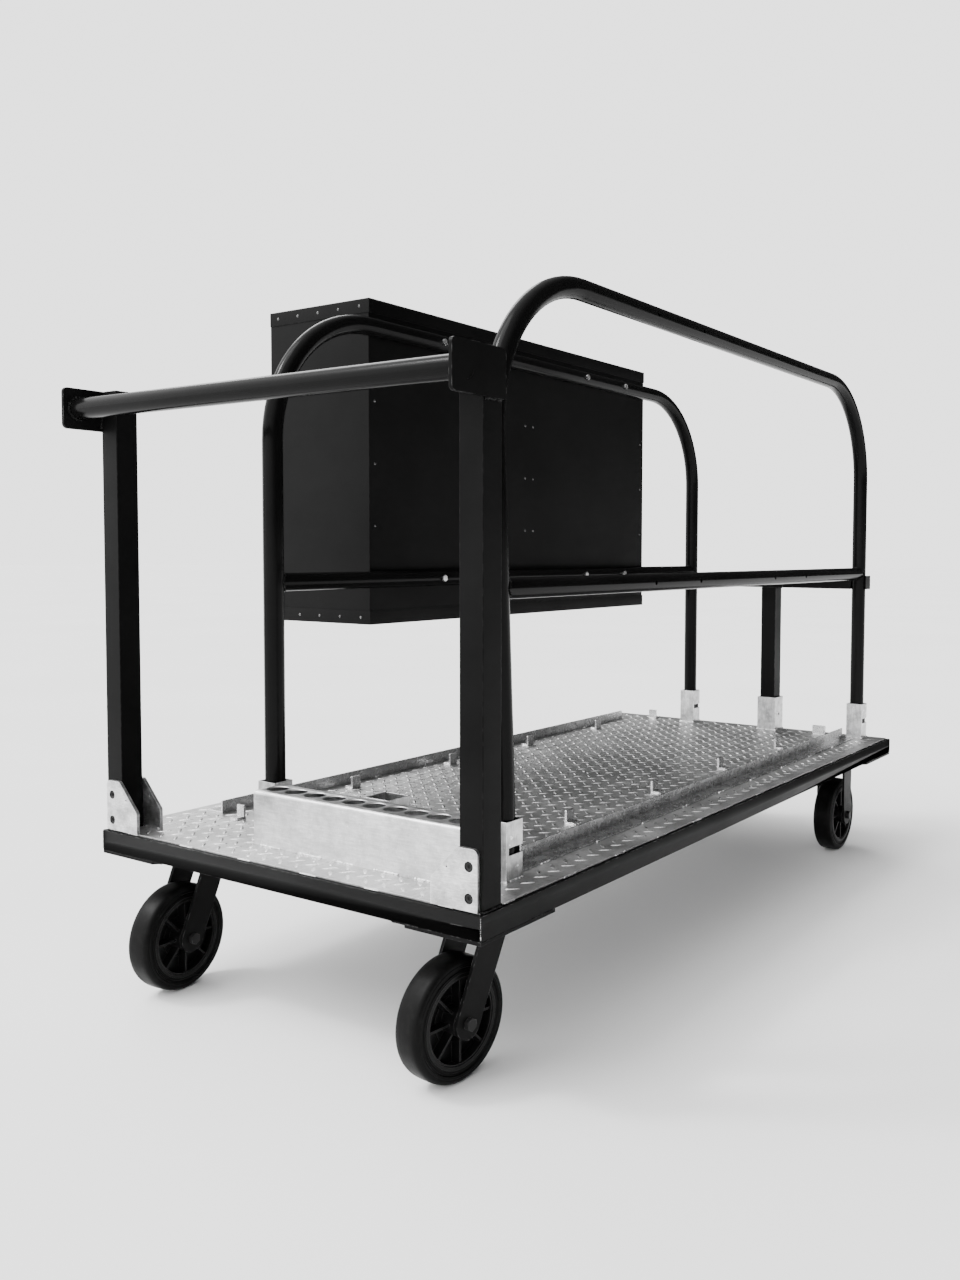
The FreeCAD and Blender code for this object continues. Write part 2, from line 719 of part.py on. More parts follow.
def box_bolts():
    """Bolts through the hoop and the box's back, each with washers and a nut."""
    solids = []
    inside = BOX_IN_X - BOX_SHEET
    for z, radius in ((HOOP_TOP_Z, HOOP_R), (LOWER_RAIL_Z, LOWER_RAIL_R)):
        face = HOOP_LEFT_X + radius
        for y in HOOP_HOLE_Y:
            outer = Vector(face, y, z)
            nut_end = Vector(inside - WASHER_T - BOX_BOLT_HEAD_H, y, z)
            head = hexagon(BOX_BOLT_AF, outer, outer + X_AXIS * BOX_BOLT_HEAD_H)
            shank = rod(BOX_BOLT_R, nut_end, outer)
            solids.append(head.fuse(shank).removeSplitter())
            washer_start = Vector(inside - WASHER_T, y, z)
            solids.append(ring(WASHER_R, BOX_BOLT_R, washer_start, Vector(inside, y, z)))
            nut = hexagon(BOX_BOLT_AF, nut_end, washer_start)
            solids.append(nut.cut(rod(BOX_BOLT_R, nut_end, washer_start)))
            if radius < HOOP_R:
                spacer_end = Vector(HOOP_LEFT_X - radius, y, z)
                solids.append(ring(WASHER_R, BOX_BOLT_R, Vector(BOX_IN_X, y, z), spacer_end))
    return solids


def hinge_axis(end):
    """Hinge line of the front (-1) or rear (+1) door, at the foot of the door."""
    edge = BOX_FRONT_Y if end < 0 else BOX_REAR_Y
    y = edge - end * (BOX_RETURN + BOX_SHEET + DOOR_GAP / 2)
    return Vector(BOX_OUT_X - HINGE_R - HINGE_STAND, y, CAP_LOW + DOOR_GAP)


def knuckles(end, fixed):
    """Every second knuckle of a piano hinge, with a running gap on the pin."""
    base = hinge_axis(end)
    length = CAP_HIGH - CAP_LOW - 2 * DOOR_GAP
    pitch = length / HINGE_KNUCKLES
    rings = []
    for step in range(HINGE_KNUCKLES):
        if (step % 2 == 0) == fixed:
            start = base + Z_AXIS * (step * pitch + HINGE_END_GAP)
            finish = base + Z_AXIS * ((step + 1) * pitch - HINGE_END_GAP)
            inner = HINGE_PIN_R if fixed else HINGE_PIN_R + RUNNING_GAP
            rings.append(ring(HINGE_R, inner, start, finish))
    return rings


def hinge_leaf(end, fixed):
    """One leaf of a piano hinge with its knuckles; the fixed leaf holds the pin."""
    base = hinge_axis(end)
    length = CAP_HIGH - CAP_LOW - 2 * DOOR_GAP
    pitch = length / HINGE_KNUCKLES
    direction = end if fixed else -end
    y = sorted((base.y, base.y + direction * HINGE_LEAF))
    leaf = block((BOX_OUT_X - HINGE_LEAF_T, BOX_OUT_X), y, (base.z, base.z + length))
    for step in range(HINGE_KNUCKLES):
        if (step % 2 == 0) != fixed:
            z = (base.z + step * pitch - HINGE_END_GAP, base.z + (step + 1) * pitch + HINGE_END_GAP)
            reach = HINGE_R + 2 * HINGE_STAND
            leaf = leaf.cut(block((BOX_OUT_X - 3 * HINGE_R, BOX_OUT_X + 1),
                                  (base.y - reach, base.y + reach), z))
    leaf = leaf.cut(rod(HINGE_R - HINGE_BITE, base - Z_AXIS, base + Z_AXIS * (length + 1)))
    for piece in knuckles(end, fixed):
        leaf = leaf.fuse(piece)
    if fixed:
        leaf = leaf.fuse(rod(HINGE_PIN_R, base, base + Z_AXIS * length))
    return leaf.removeSplitter()


def box_door(end):
    """Pan door that closes one compartment, flush with the caps' flanges."""
    t = BOX_SHEET
    hinge_y = hinge_axis(end).y
    y = sorted((hinge_y - end * DOOR_GAP / 2, BOX_MID_Y + end * DOOR_GAP / 2))
    z = (CAP_LOW + DOOR_GAP, CAP_HIGH - DOOR_GAP)
    outside = block((BOX_OUT_X, BOX_OUT_X + DOOR_PAN), y, z)
    inside = block((BOX_OUT_X + t, BOX_OUT_X + DOOR_PAN + OVER), (y[0] + t, y[1] - t),
                   (z[0] + t, z[1] - t))
    return outside.cut(inside)


def door_pull(end):
    """Round D-shaped pull near the free edge of a door."""
    y = BOX_MID_Y + end * PULL_FROM_EDGE
    z = (BOX_BOTTOM_Z + BOX_TOP_Z) / 2
    half = PULL_LENGTH / 2
    out = BOX_OUT_X - PULL_STAND_OFF
    bend = PULL_BEND
    mid = bend * (1 - math.sqrt(0.5))
    face = Vector(BOX_OUT_X, y, z - half)
    a = Vector(out + bend, y, z - half)
    b = Vector(out + mid, y, z - half + mid)
    c = Vector(out, y, z - half + bend)
    d = Vector(out, y, z + half - bend)
    e = Vector(out + mid, y, z + half - mid)
    f = Vector(out + bend, y, z + half)
    last = Vector(BOX_OUT_X, y, z + half)
    path = Part.Wire([Part.makeLine(face, a), Part.Arc(a, b, c).toShape(), Part.makeLine(c, d),
                      Part.Arc(d, e, f).toShape(), Part.makeLine(f, last)])
    circle = Part.Wire(Part.makeCircle(PULL_R, face, X_AXIS))
    return path.makePipeShell([circle], True, False)


# ---- casters ----
def caster_places():
    """Name, swivel axis X and Y of each caster."""
    x = HALF_W - CASTER_IN_X
    y = DECK_L / 2 - CASTER_IN_Y
    return {"fl": (-x, -y), "fr": (x, -y), "rl": (-x, y), "rr": (x, y)}


def turned(name, shape):
    """Put a caster piece made round the swivel axis where it belongs."""
    x, y = caster_places()[name]
    shape.rotate(Vector(0, 0, 0), Z_AXIS, YAW[name])
    shape.translate(Vector(x, y, 0))
    return shape


def wheel_y(name):
    """Axle distance behind the swivel axis; the rear pair is rigid."""
    return -CASTER_TRAIL if name[0] == "f" else 0.0


def corner_plates():
    """Plates under the frame corners, with their inner corner cut off."""
    plates = []
    for sx in (-1, 1):
        for sy in (-1, 1):
            far_x = HALF_W - CORNER_PLATE_X
            far_y = DECK_L / 2 - CORNER_PLATE_Y
            points = [(HALF_W, DECK_L / 2), (HALF_W, far_y + CORNER_CLIP), (HALF_W - CORNER_CLIP, far_y),
                      (far_x, far_y), (far_x, DECK_L / 2 - CORNER_CLIP), (far_x + CORNER_CLIP, DECK_L / 2)]
            outline = [(sx * px, sy * py, CORNER_PLATE_BOTTOM) for px, py in points]
            plates.append(prism(outline, Z_AXIS * CORNER_PLATE_T))
    return plates


def top_plate():
    """Bolted plate of a caster, round the swivel axis."""
    plate = block((-TOP_PLATE_X / 2, TOP_PLATE_X / 2), (-TOP_PLATE_Y / 2, TOP_PLATE_Y / 2),
                  (TOP_PLATE_BOTTOM, CORNER_PLATE_BOTTOM))
    return plate.makeFillet(TOP_PLATE_CORNER, edges_along(plate, Z_AXIS))


def caster_base(name):
    """Fixed half of a swivel caster: plate, ball race and kingpin with its nut."""
    top = TOP_PLATE_BOTTOM
    race = ring(RACE_R, RACE_INNER_R, Vector(0, 0, top - RACE_H), Vector(0, 0, top))
    bottom = CROWN_TOP - CROWN_T - KINGPIN_NUT_H - THREAD_TAIL
    pin = rod(KINGPIN_R, Vector(0, 0, bottom), Vector(0, 0, top))
    nut_top = CROWN_TOP - CROWN_T - RACE_GAP
    nut = hexagon(KINGPIN_NUT_AF, Vector(0, 0, nut_top - KINGPIN_NUT_H), Vector(0, 0, nut_top))
    body = top_plate().fuse(race).fuse(pin).fuse(nut)
    return turned(name, body.removeSplitter())


def fork_leg(sign, top_z, axle_y):
    """Flat leg that runs down from the crown to the axle and ends round."""
    x = LEG_GAP_HALF if sign > 0 else -LEG_GAP_HALF - LEG_T
    half = FORK_TOP_W / 2
    down = Vector(0, axle_y, AXLE_Z - top_z)
    across = Vector(0, -down.z, down.y)
    across.normalize()
    foot = across * FORK_FOOT_R
    points = [(x, -half, top_z), (x, half, top_z),
              (x, axle_y - foot.y, AXLE_Z - foot.z), (x, axle_y + foot.y, AXLE_Z + foot.z)]
    if points[2][1] < points[3][1]:
        points[2], points[3] = points[3], points[2]
    leg = prism(points, X_AXIS * LEG_T)
    centre = Vector(x, axle_y, AXLE_Z)
    leg = leg.fuse(rod(FORK_FOOT_R, centre, centre + X_AXIS * LEG_T))
    hole = centre - X_AXIS * OVER
    return leg.cut(rod(AXLE_BOLT_R, hole, hole + X_AXIS * (LEG_T + 2 * OVER)))


def swivel_fork(name):
    """Turning half of a swivel caster: round crown and two raked legs."""
    low = CROWN_TOP - CROWN_T
    crown = rod(CROWN_R, Vector(0, 0, low), Vector(0, 0, CROWN_TOP))
    half_x = LEG_GAP_HALF + LEG_T
    shoulder = block((-half_x, half_x), (-FORK_TOP_W / 2, FORK_TOP_W / 2), (low, CROWN_TOP))
    body = crown.fuse(shoulder)
    for sign in (-1, 1):
        body = body.fuse(fork_leg(sign, CROWN_TOP, wheel_y(name)))
    hole = Vector(0, 0, low - OVER)
    body = body.cut(rod(KINGPIN_R + RUNNING_GAP, hole, hole + Z_AXIS * (CROWN_T + 2 * OVER)))
    return turned(name, body.removeSplitter())


def rigid_fork(name):
    """Rigid caster: plate and two upright legs."""
    body = top_plate()
    for sign in (-1, 1):
        body = body.fuse(fork_leg(sign, CORNER_PLATE_BOTTOM, wheel_y(name)))
    return turned(name, body.removeSplitter())


def caster_axle(name):
    """Axle bolt, its bush between the legs, and the nut."""
    y = wheel_y(name)
    out = LEG_GAP_HALF + LEG_T
    left = Vector(-out, y, AXLE_Z)
    right = Vector(out, y, AXLE_Z)
    head = hexagon(AXLE_HEAD_AF, right, right + X_AXIS * AXLE_HEAD_H)
    shank = rod(AXLE_BOLT_R, left - X_AXIS * (AXLE_HEAD_H + THREAD_TAIL), right)
    bolt = head.fuse(shank).removeSplitter()
    nut = hexagon(AXLE_HEAD_AF, left, left - X_AXIS * AXLE_HEAD_H)
    nut = nut.cut(rod(AXLE_BOLT_R, left, left - X_AXIS * AXLE_HEAD_H))
    bush = ring(BUSH_R, AXLE_BOLT_R, Vector(-LEG_GAP_HALF, y, AXLE_Z), Vector(LEG_GAP_HALF, y, AXLE_Z))
    return [turned(name, piece) for piece in (bolt, nut, bush)]


def caster_tyre(name):
    """Solid rubber tyre with round shoulders."""
    half = WHEEL_W / 2
    centre = Vector(0, wheel_y(name), AXLE_Z)
    low = WHEEL_R - TYRE_SHOULDER
    flat = half - TYRE_SHOULDER
    mid_x = half - TYRE_SHOULDER * TYRE_ROUND
    mid_z = WHEEL_R - TYRE_SHOULDER * TYRE_ROUND
    left = Part.Arc(Vector(-half, 0, low), Vector(-mid_x, 0, mid_z), Vector(-flat, 0, WHEEL_R))
    right = Part.Arc(Vector(flat, 0, WHEEL_R), Vector(mid_x, 0, mid_z), Vector(half, 0, low))
    foot = [Vector(half, 0, low), Vector(half, 0, TYRE_INNER_R), Vector(-half, 0, TYRE_INNER_R),
            Vector(-half, 0, low)]
    edges = [left.toShape(), Part.makeLine(Vector(-flat, 0, WHEEL_R), Vector(flat, 0, WHEEL_R)),
             right.toShape()]
    for start, end in zip(foot, foot[1:]):
        edges.append(Part.makeLine(start, end))
    tyre = Part.Face(Part.Wire(edges)).revolve(Vector(0, 0, 0), X_AXIS, 360)
    tyre.translate(centre)
    return turned(name, tyre)


def caster_hub(name):
    """Moulded hub: rim, thin web, ribs and a boss."""
    centre = Vector(0, wheel_y(name), AXLE_Z)
    half = WHEEL_W / 2
    left = centre - X_AXIS * half
    right = centre + X_AXIS * half
    hub = ring(TYRE_INNER_R, TYRE_INNER_R - HUB_RIM_T, left, right)
    web = rod(TYRE_INNER_R - HUB_BITE, centre - X_AXIS * (HUB_WEB_T / 2), centre + X_AXIS * (HUB_WEB_T / 2))
    boss = rod(BOSS_R, centre - X_AXIS * BOSS_HALF, centre + X_AXIS * BOSS_HALF)
    hub = hub.fuse(web).fuse(boss)
    rib_half = half - HUB_RIB_IN
    for step in range(HUB_RIBS):
        rib = block((-rib_half, rib_half), (-HUB_RIB_T / 2, HUB_RIB_T / 2),
                    (BOSS_R - HUB_BITE, TYRE_INNER_R - HUB_BITE))
        rib.rotate(Vector(0, 0, 0), X_AXIS, step * 360 / HUB_RIBS)
        rib.translate(centre)
        hub = hub.fuse(rib)
    end = centre + X_AXIS * (BOSS_HALF + OVER)
    hub = hub.cut(rod(BEARING_R, centre - X_AXIS * (BOSS_HALF + OVER), end))
    return turned(name, hub.removeSplitter())


def caster_bearing(name):
    """Plain bearing pressed in the hub, running on the bush."""
    centre = Vector(0, wheel_y(name), AXLE_Z)
    bearing = ring(BEARING_R, BUSH_R + RUNNING_GAP, centre - X_AXIS * (BOSS_HALF + 1),
                   centre + X_AXIS * (BOSS_HALF + 1))
    return turned(name, bearing)


def caster_bolts():
    """Bolts and nuts that hold the caster plates to the corner plates."""
    solids = []
    for name in caster_places():
        for sx in (-1, 1):
            for sy in (-1, 1):
                x = sx * TOP_BOLT_X
                y = sy * TOP_BOLT_Y
                low = Vector(x, y, TOP_PLATE_BOTTOM)
                head = hexagon(TOP_BOLT_AF, low - Z_AXIS * TOP_BOLT_HEAD_H, low)
                tip = Vector(x, y, FRAME_BOTTOM + TOP_NUT_H + THREAD_TAIL)
                bolt = head.fuse(rod(TOP_BOLT_R, low, tip)).removeSplitter()
                seat = Vector(x, y, FRAME_BOTTOM)
                nut = hexagon(TOP_BOLT_AF, seat, seat + Z_AXIS * TOP_NUT_H)
                nut = nut.cut(rod(TOP_BOLT_R, seat, tip))
                solids.append(turned(name, bolt))
                solids.append(turned(name, nut))
    return solids


def drilled_for_bolts(name, shape):
    """Clear the four bolt holes through a caster's plates."""
    for sx in (-1, 1):
        for sy in (-1, 1):
            low = Vector(sx * TOP_BOLT_X, sy * TOP_BOLT_Y, TOP_PLATE_BOTTOM - OVER)
            tool = turned(name, rod(TOP_BOLT_R, low, low + Z_AXIS * (TOP_PLATE_T + CORNER_PLATE_T + 2 * OVER)))
            shape = shape.cut(tool)
    return shape


def build():
    """Write every node."""
    os.makedirs("parts", exist_ok=True)
    export("deck_frame", deck_frame())
    export("tread_plate", tread_plate())
    export("deck_rivets", deck_rivets())
    for sign, side in sides():
        export("handle_post_" + side, handle_post(sign))
    export("handle_plates", handle_plates())
    export("handle_bar", handle_bar())
    export("gusset_plates", gusset_plates())
    export("post_screws", post_screws())
    export("hoop_sockets", hoop_sockets())
    export("t_socket_rear", t_socket(T_REAR_Y))
    export("t_socket_front", t_socket(T_FRONT_Y))
    export("angle_rail_right", angle_rail_right())
    export("angle_rail_left", angle_rail_left())
    export("deck_clips", deck_clips())
    export("stake_holder", stake_holder())
    for side, x, lean in (("left", HOOP_LEFT_X, LEFT_LEAN), ("right", HOOP_RIGHT_X, RIGHT_LEAN)):
        export("hoop_tube_" + side, hoop_tube(x, lean))
        export("lower_rail_" + side, lower_rail(x, lean))
    export("t_post", t_post())
    export("t_bar", t_bar())
    export("box_shell", box_shell())
    export("box_top", box_cap(BOX_TOP_Z, CAP_HIGH))
    export("box_bottom", box_cap(BOX_BOTTOM_Z, CAP_LOW))
    export("box_partition", box_partition())
    export("box_rivets", box_rivets())
    export("box_bolts", box_bolts())
    export("hinge_fixed_leaves", [hinge_leaf(-1, True), hinge_leaf(1, True)])
    for end, place in ((-1, "front"), (1, "rear")):
        export("box_door_" + place, box_door(end))
        export("hinge_leaf_" + place, hinge_leaf(end, False))
        export("door_pull_" + place, door_pull(end))
    plates = corner_plates()
    for name in caster_places():
        plates = [drilled_for_bolts(name, plate) for plate in plates]
        if name[0] == "f":
            export("caster_base_" + name, drilled_for_bolts(name, caster_base(name)))
            export("caster_fork_" + name, swivel_fork(name))
        else:
            export("caster_fork_" + name, drilled_for_bolts(name, rigid_fork(name)))
        export("caster_axle_" + name, caster_axle(name))
        export("caster_tyre_" + name, caster_tyre(name))
        export("caster_hub_" + name, caster_hub(name))
        export("caster_bearing_" + name, caster_bearing(name))
    export("corner_plates", plates)
    export("caster_bolts", caster_bolts())


build()
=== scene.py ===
import json
import math
import random

import bmesh
import bpy
from mathutils import Matrix, Vector


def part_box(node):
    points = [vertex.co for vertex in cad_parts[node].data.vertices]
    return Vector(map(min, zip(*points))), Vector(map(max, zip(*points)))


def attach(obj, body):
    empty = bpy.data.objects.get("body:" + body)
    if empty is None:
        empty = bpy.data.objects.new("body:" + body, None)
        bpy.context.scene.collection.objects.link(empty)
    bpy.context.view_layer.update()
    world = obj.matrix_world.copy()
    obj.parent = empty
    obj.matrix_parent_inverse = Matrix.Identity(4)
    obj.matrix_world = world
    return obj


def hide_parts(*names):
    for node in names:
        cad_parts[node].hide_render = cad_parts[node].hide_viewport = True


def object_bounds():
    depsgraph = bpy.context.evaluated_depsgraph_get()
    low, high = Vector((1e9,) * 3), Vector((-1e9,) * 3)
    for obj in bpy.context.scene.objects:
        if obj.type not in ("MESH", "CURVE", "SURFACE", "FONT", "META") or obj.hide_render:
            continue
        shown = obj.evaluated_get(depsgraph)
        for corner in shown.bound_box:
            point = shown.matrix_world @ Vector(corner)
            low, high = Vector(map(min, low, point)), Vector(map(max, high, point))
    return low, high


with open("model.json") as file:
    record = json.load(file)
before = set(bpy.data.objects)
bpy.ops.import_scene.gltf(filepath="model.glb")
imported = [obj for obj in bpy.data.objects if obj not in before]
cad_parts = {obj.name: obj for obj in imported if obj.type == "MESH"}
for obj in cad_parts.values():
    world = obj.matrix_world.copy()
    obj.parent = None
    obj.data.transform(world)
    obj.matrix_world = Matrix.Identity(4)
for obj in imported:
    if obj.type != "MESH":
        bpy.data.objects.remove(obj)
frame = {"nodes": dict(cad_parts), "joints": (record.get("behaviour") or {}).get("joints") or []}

CAD_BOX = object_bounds()
NODES = frame["nodes"]
MM = 0.001
X_AXIS = Vector((1, 0, 0))
Z_AXIS = Vector((0, 0, 1))

PLATE_LOW, PLATE_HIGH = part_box("tread_plate")
BAR_LOW, BAR_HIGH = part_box("handle_bar")
FRAME_LOW, FRAME_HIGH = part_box("deck_frame")
TYRE_LOW, TYRE_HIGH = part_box("caster_tyre_rr")
TYRE_HALF = (TYRE_HIGH.x - TYRE_LOW.x) / 2      # half the tyre's width, in metres
WELD_RIPPLE = 3.4 * MM      # length of one ripple along a weld
LUG_PITCH = 40 * MM
LUG_LENGTH = 29 * MM
LUG_WIDTH = 7.4 * MM
LUG_HEIGHT = 1.5 * MM
LUG_PHASE = Vector((19, 17.5)) * MM
BRIGHT_SIDE = Vector((-0.50, -0.76, 0.42))
SKY_LEVEL = 2.5


# ---------------------------------------------------------------- mesh pile
class Pile:
    """Gathers vertices and faces, then becomes one object."""

    def __init__(self):
        self.verts = []
        self.faces = []

    def rings(self, rings, closed=False, caps=True):
        """Joins rings of equal length with quads."""
        base = len(self.verts)
        count = len(rings[0])
        for ring in rings:
            self.verts.extend(ring)
        spans = len(rings) if closed else len(rings) - 1
        for i in range(spans):
            a = base + i * count
            b = base + ((i + 1) % len(rings)) * count
            for j in range(count):
                k = (j + 1) % count
                self.faces.append((a + j, a + k, b + k, b + j))
        if caps and not closed:
            last = base + (len(rings) - 1) * count
            self.faces.append(tuple(base + j for j in reversed(range(count))))
            self.faces.append(tuple(last + j for j in range(count)))

    def lathe(self, profile, centre, axis, steps=24, caps=True):
        """Turns (distance along the axis, radius) pairs about an axis."""
        turn = axis.to_track_quat("Z", "Y").to_matrix()
        rings = []
        for along, radius in profile:
            ring = []
            for j in range(steps):
                angle = 2 * math.pi * j / steps
                local = Vector((radius * math.cos(angle), radius * math.sin(angle), along))
                ring.append(centre + turn @ local)
            rings.append(ring)
        self.rings(rings, caps=caps)

    def object(self, name, body, material, smooth_deg=40):
        """Makes the piece, held inside the part's own box, and rides it on its body."""
        low, high = CAD_BOX
        held = [[min(max(v[i], low[i]), high[i]) for i in range(3)] for v in self.verts]
        mesh = bpy.data.meshes.new(name)
        mesh.from_pydata(held, [], self.faces)
        mesh.validate()
        work = bmesh.new()
        work.from_mesh(mesh)
        bmesh.ops.recalc_face_normals(work, faces=work.faces)
        work.to_mesh(mesh)
        work.free()
        for polygon in mesh.polygons:
            polygon.use_smooth = True
        mesh.set_sharp_from_angle(angle=math.radians(smooth_deg))
        piece = bpy.data.objects.new(name, mesh)
        bpy.context.scene.collection.objects.link(piece)
        mesh.materials.append(material)
        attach(piece, body)
        return piece


def islands(node):
    """Boxes of the loose pieces of a CAD node."""
    work = bmesh.new()
    work.from_mesh(NODES[node].data)
    bmesh.ops.remove_doubles(work, verts=work.verts, dist=1e-6)
    seen = set()
    boxes = []
    for start in work.verts:
        if start.index in seen:
            continue
        stack = [start]
        seen.add(start.index)
        low = start.co.copy()
        high = start.co.copy()
        while stack:
            vert = stack.pop()
            for axis in range(3):
                low[axis] = min(low[axis], vert.co[axis])
                high[axis] = max(high[axis], vert.co[axis])
            for edge in vert.link_edges:
                other = edge.other_vert(vert)
                if other.index not in seen:
                    seen.add(other.index)
                    stack.append(other)
        boxes.append((low, high))
    work.free()
    return boxes


# ---------------------------------------------------------------- materials
def new_material(name):
    """Empty principled material with object coordinates in metres."""
    material = bpy.data.materials.new(name)
    material.use_nodes = True
    tree = material.node_tree
    shader = tree.nodes["Principled BSDF"]
    coords = tree.nodes.new("ShaderNodeTexCoord")
    return material, tree, shader, coords.outputs["Object"]


def noise(tree, coords, scale, detail=4.0, rough=0.55, stretch=None):
    """Noise value, optionally stretched along an axis."""
    source = coords
    if stretch:
        mapping = tree.nodes.new("ShaderNodeMapping")
        mapping.inputs["Scale"].default_value = stretch
        tree.links.new(coords, mapping.inputs["Vector"])
        source = mapping.outputs["Vector"]
    node = tree.nodes.new("ShaderNodeTexNoise")
    node.inputs["Scale"].default_value = scale
    node.inputs["Detail"].default_value = detail
    node.inputs["Roughness"].default_value = rough
    tree.links.new(source, node.inputs["Vector"])
    return node.outputs["Fac"]


def ramp(tree, value, stops):
    """Maps a value to grey levels or colours given as (position, level or colour)."""
    node = tree.nodes.new("ShaderNodeValToRGB")
    elements = node.color_ramp.elements
    while len(elements) < len(stops):
        elements.new(0.5)
    for element, (position, level) in zip(elements, stops):
        element.position = position
        colour = level if isinstance(level, tuple) else (level, level, level)
        element.color = (*colour, 1)
    tree.links.new(value, node.inputs["Fac"])
    return node.outputs["Color"]


def mix(tree, factor, first, second, blend="MIX"):
    """Blends two colour sockets or values."""
    node = tree.nodes.new("ShaderNodeMix")
    node.data_type = "RGBA"
    node.blend_type = blend
    for key, value in ((0, factor), (6, first), (7, second)):
        if isinstance(value, bpy.types.NodeSocket):
            tree.links.new(value, node.inputs[key])
        elif key == 0:
            node.inputs[key].default_value = value
        else:
            node.inputs[key].default_value = (*value, 1)
    return node.outputs[2]


def edge_wear_and_highlight(tree, reach):
    """Bright within a short reach of an edge: partly rubbed wear, partly a painted edge highlight."""
    geometry = tree.nodes.new("ShaderNodeNewGeometry")
    rounded = tree.nodes.new("ShaderNodeBevel")
    rounded.samples = 4
    rounded.inputs["Radius"].default_value = reach
    match = tree.nodes.new("ShaderNodeVectorMath")
    match.operation = "DOT_PRODUCT"
    tree.links.new(geometry.outputs["Normal"], match.inputs[0])
    tree.links.new(rounded.outputs["Normal"], match.inputs[1])
    return ramp(tree, match.outputs["Value"], ((0.80, 1.0), (0.985, 0.0)))


def bump(tree, shader, layers):
    """Chains height layers given as (socket, strength, distance)."""
    normal = None
    for height, strength, distance in layers:
        node = tree.nodes.new("ShaderNodeBump")
        node.inputs["Strength"].default_value = strength
        node.inputs["Distance"].default_value = distance
        tree.links.new(height, node.inputs["Height"])
        if normal:
            tree.links.new(normal, node.inputs["Normal"])
        normal = node.outputs["Normal"]
    tree.links.new(normal, shader.inputs["Normal"])


def powder_coat(name, dark, light, rough_low, rough_high, grain=1100.0, wear=0.10, shine=0.1):
    """Black powder coat: fine orange peel, dull patches, dust specks, paler edges that are partly rubbed wear
    and partly a painted edge highlight.
    """
    material, tree, shader, coords = new_material(name)
    shader.inputs["Specular IOR Level"].default_value = shine
    patches = noise(tree, coords, 3.5, 6.0, 0.6)
    colour = ramp(tree, patches, ((0.3, dark), (0.75, light)))
    specks = ramp(tree, noise(tree, coords, 420.0, 2.0), ((0.72, 0.0), (0.78, 0.6)))
    colour = mix(tree, specks, colour, (light * 3, light * 3, light * 3))
    broken = ramp(tree, noise(tree, coords, 90.0, 3.0), ((0.48, 0.0), (0.60, 1.0)))
    # paler edges: rubbed wear plus a painted edge highlight; the wear argument sets how light they get
    worn_and_lit_edges = mix(tree, 1.0, edge_wear_and_highlight(tree, 0.0016), broken, "MULTIPLY")
    colour = mix(tree, worn_and_lit_edges, colour, (wear, wear, wear))
    tree.links.new(colour, shader.inputs["Base Color"])
    smears = noise(tree, coords, 3.0, 6.0, 0.6, (1.0, 1.0, 4.0))
    tree.links.new(ramp(tree, smears, ((0.3, rough_low), (0.7, rough_high))), shader.inputs["Roughness"])
    peel = noise(tree, coords, grain, 2.0)
    dents = noise(tree, coords, 14.0, 2.0)
    bump(tree, shader, ((peel, 0.08, 0.0004), (dents, 0.06, 0.002)))
    return material


def bare_aluminium(name, low, high, rough_low, rough_high, stretch, dirt=0.35):
    """Mill aluminium: drawn streaks, cloudy oxide, scratches and handling marks."""
    material, tree, shader, coords = new_material(name)
    shader.inputs["Metallic"].default_value = 1.0
    clouds = noise(tree, coords, 34.0, 7.0, 0.68)
    colour = ramp(tree, clouds, ((0.36, low), (0.62, high)))
    streaks = noise(tree, coords, 60.0, 4.0, 0.6, stretch)
    streak_mask = ramp(tree, streaks, ((0.35, 0.45), (0.7, 0.0)))
    colour = mix(tree, streak_mask, colour, (low * 0.6, low * 0.6, low * 0.62))
    stains = ramp(tree, noise(tree, coords, 16.0, 8.0, 0.72), ((0.58, 0.0), (0.70, dirt)))
    colour = mix(tree, stains, colour, (0.26, 0.255, 0.25))
    scratches = ramp(tree, noise(tree, coords, 130.0, 2.0, 0.5, (7.0, 0.6, 1.0)), ((0.66, 0.0), (0.70, 0.7)))
    colour = mix(tree, scratches, colour, (0.94, 0.94, 0.95))
    # near-white edges: rubbed wear plus a painted edge highlight
    colour = mix(tree, edge_wear_and_highlight(tree, 0.0012), colour, (0.93, 0.93, 0.94))
    tree.links.new(colour, shader.inputs["Base Color"])
    tree.links.new(ramp(tree, clouds, ((0.25, rough_low), (0.75, rough_high))), shader.inputs["Roughness"])
    grain = noise(tree, coords, 500.0, 3.0, 0.6, stretch)
    bump(tree, shader, ((grain, 0.16, 0.0004), (clouds, 0.14, 0.001), (scratches, 0.08, 0.0003)))
    return material


def bright_steel(name, level, roughness, grain=700.0):
    """Zinc plate or weld metal: mottled and slightly rough."""
    material, tree, shader, coords = new_material(name)
    shader.inputs["Metallic"].default_value = 1.0
    mottle = noise(tree, coords, 260.0, 4.0)
    colour = ramp(tree, mottle, ((0.3, level * 0.62), (0.7, level)))
    tree.links.new(colour, shader.inputs["Base Color"])
    rough = ramp(tree, noise(tree, coords, 120.0), ((0.3, roughness * 0.7), (0.7, roughness * 1.25)))
    tree.links.new(rough, shader.inputs["Roughness"])
    bump(tree, shader, ((noise(tree, coords, grain, 3.0), 0.25, 0.0004),))
    return material


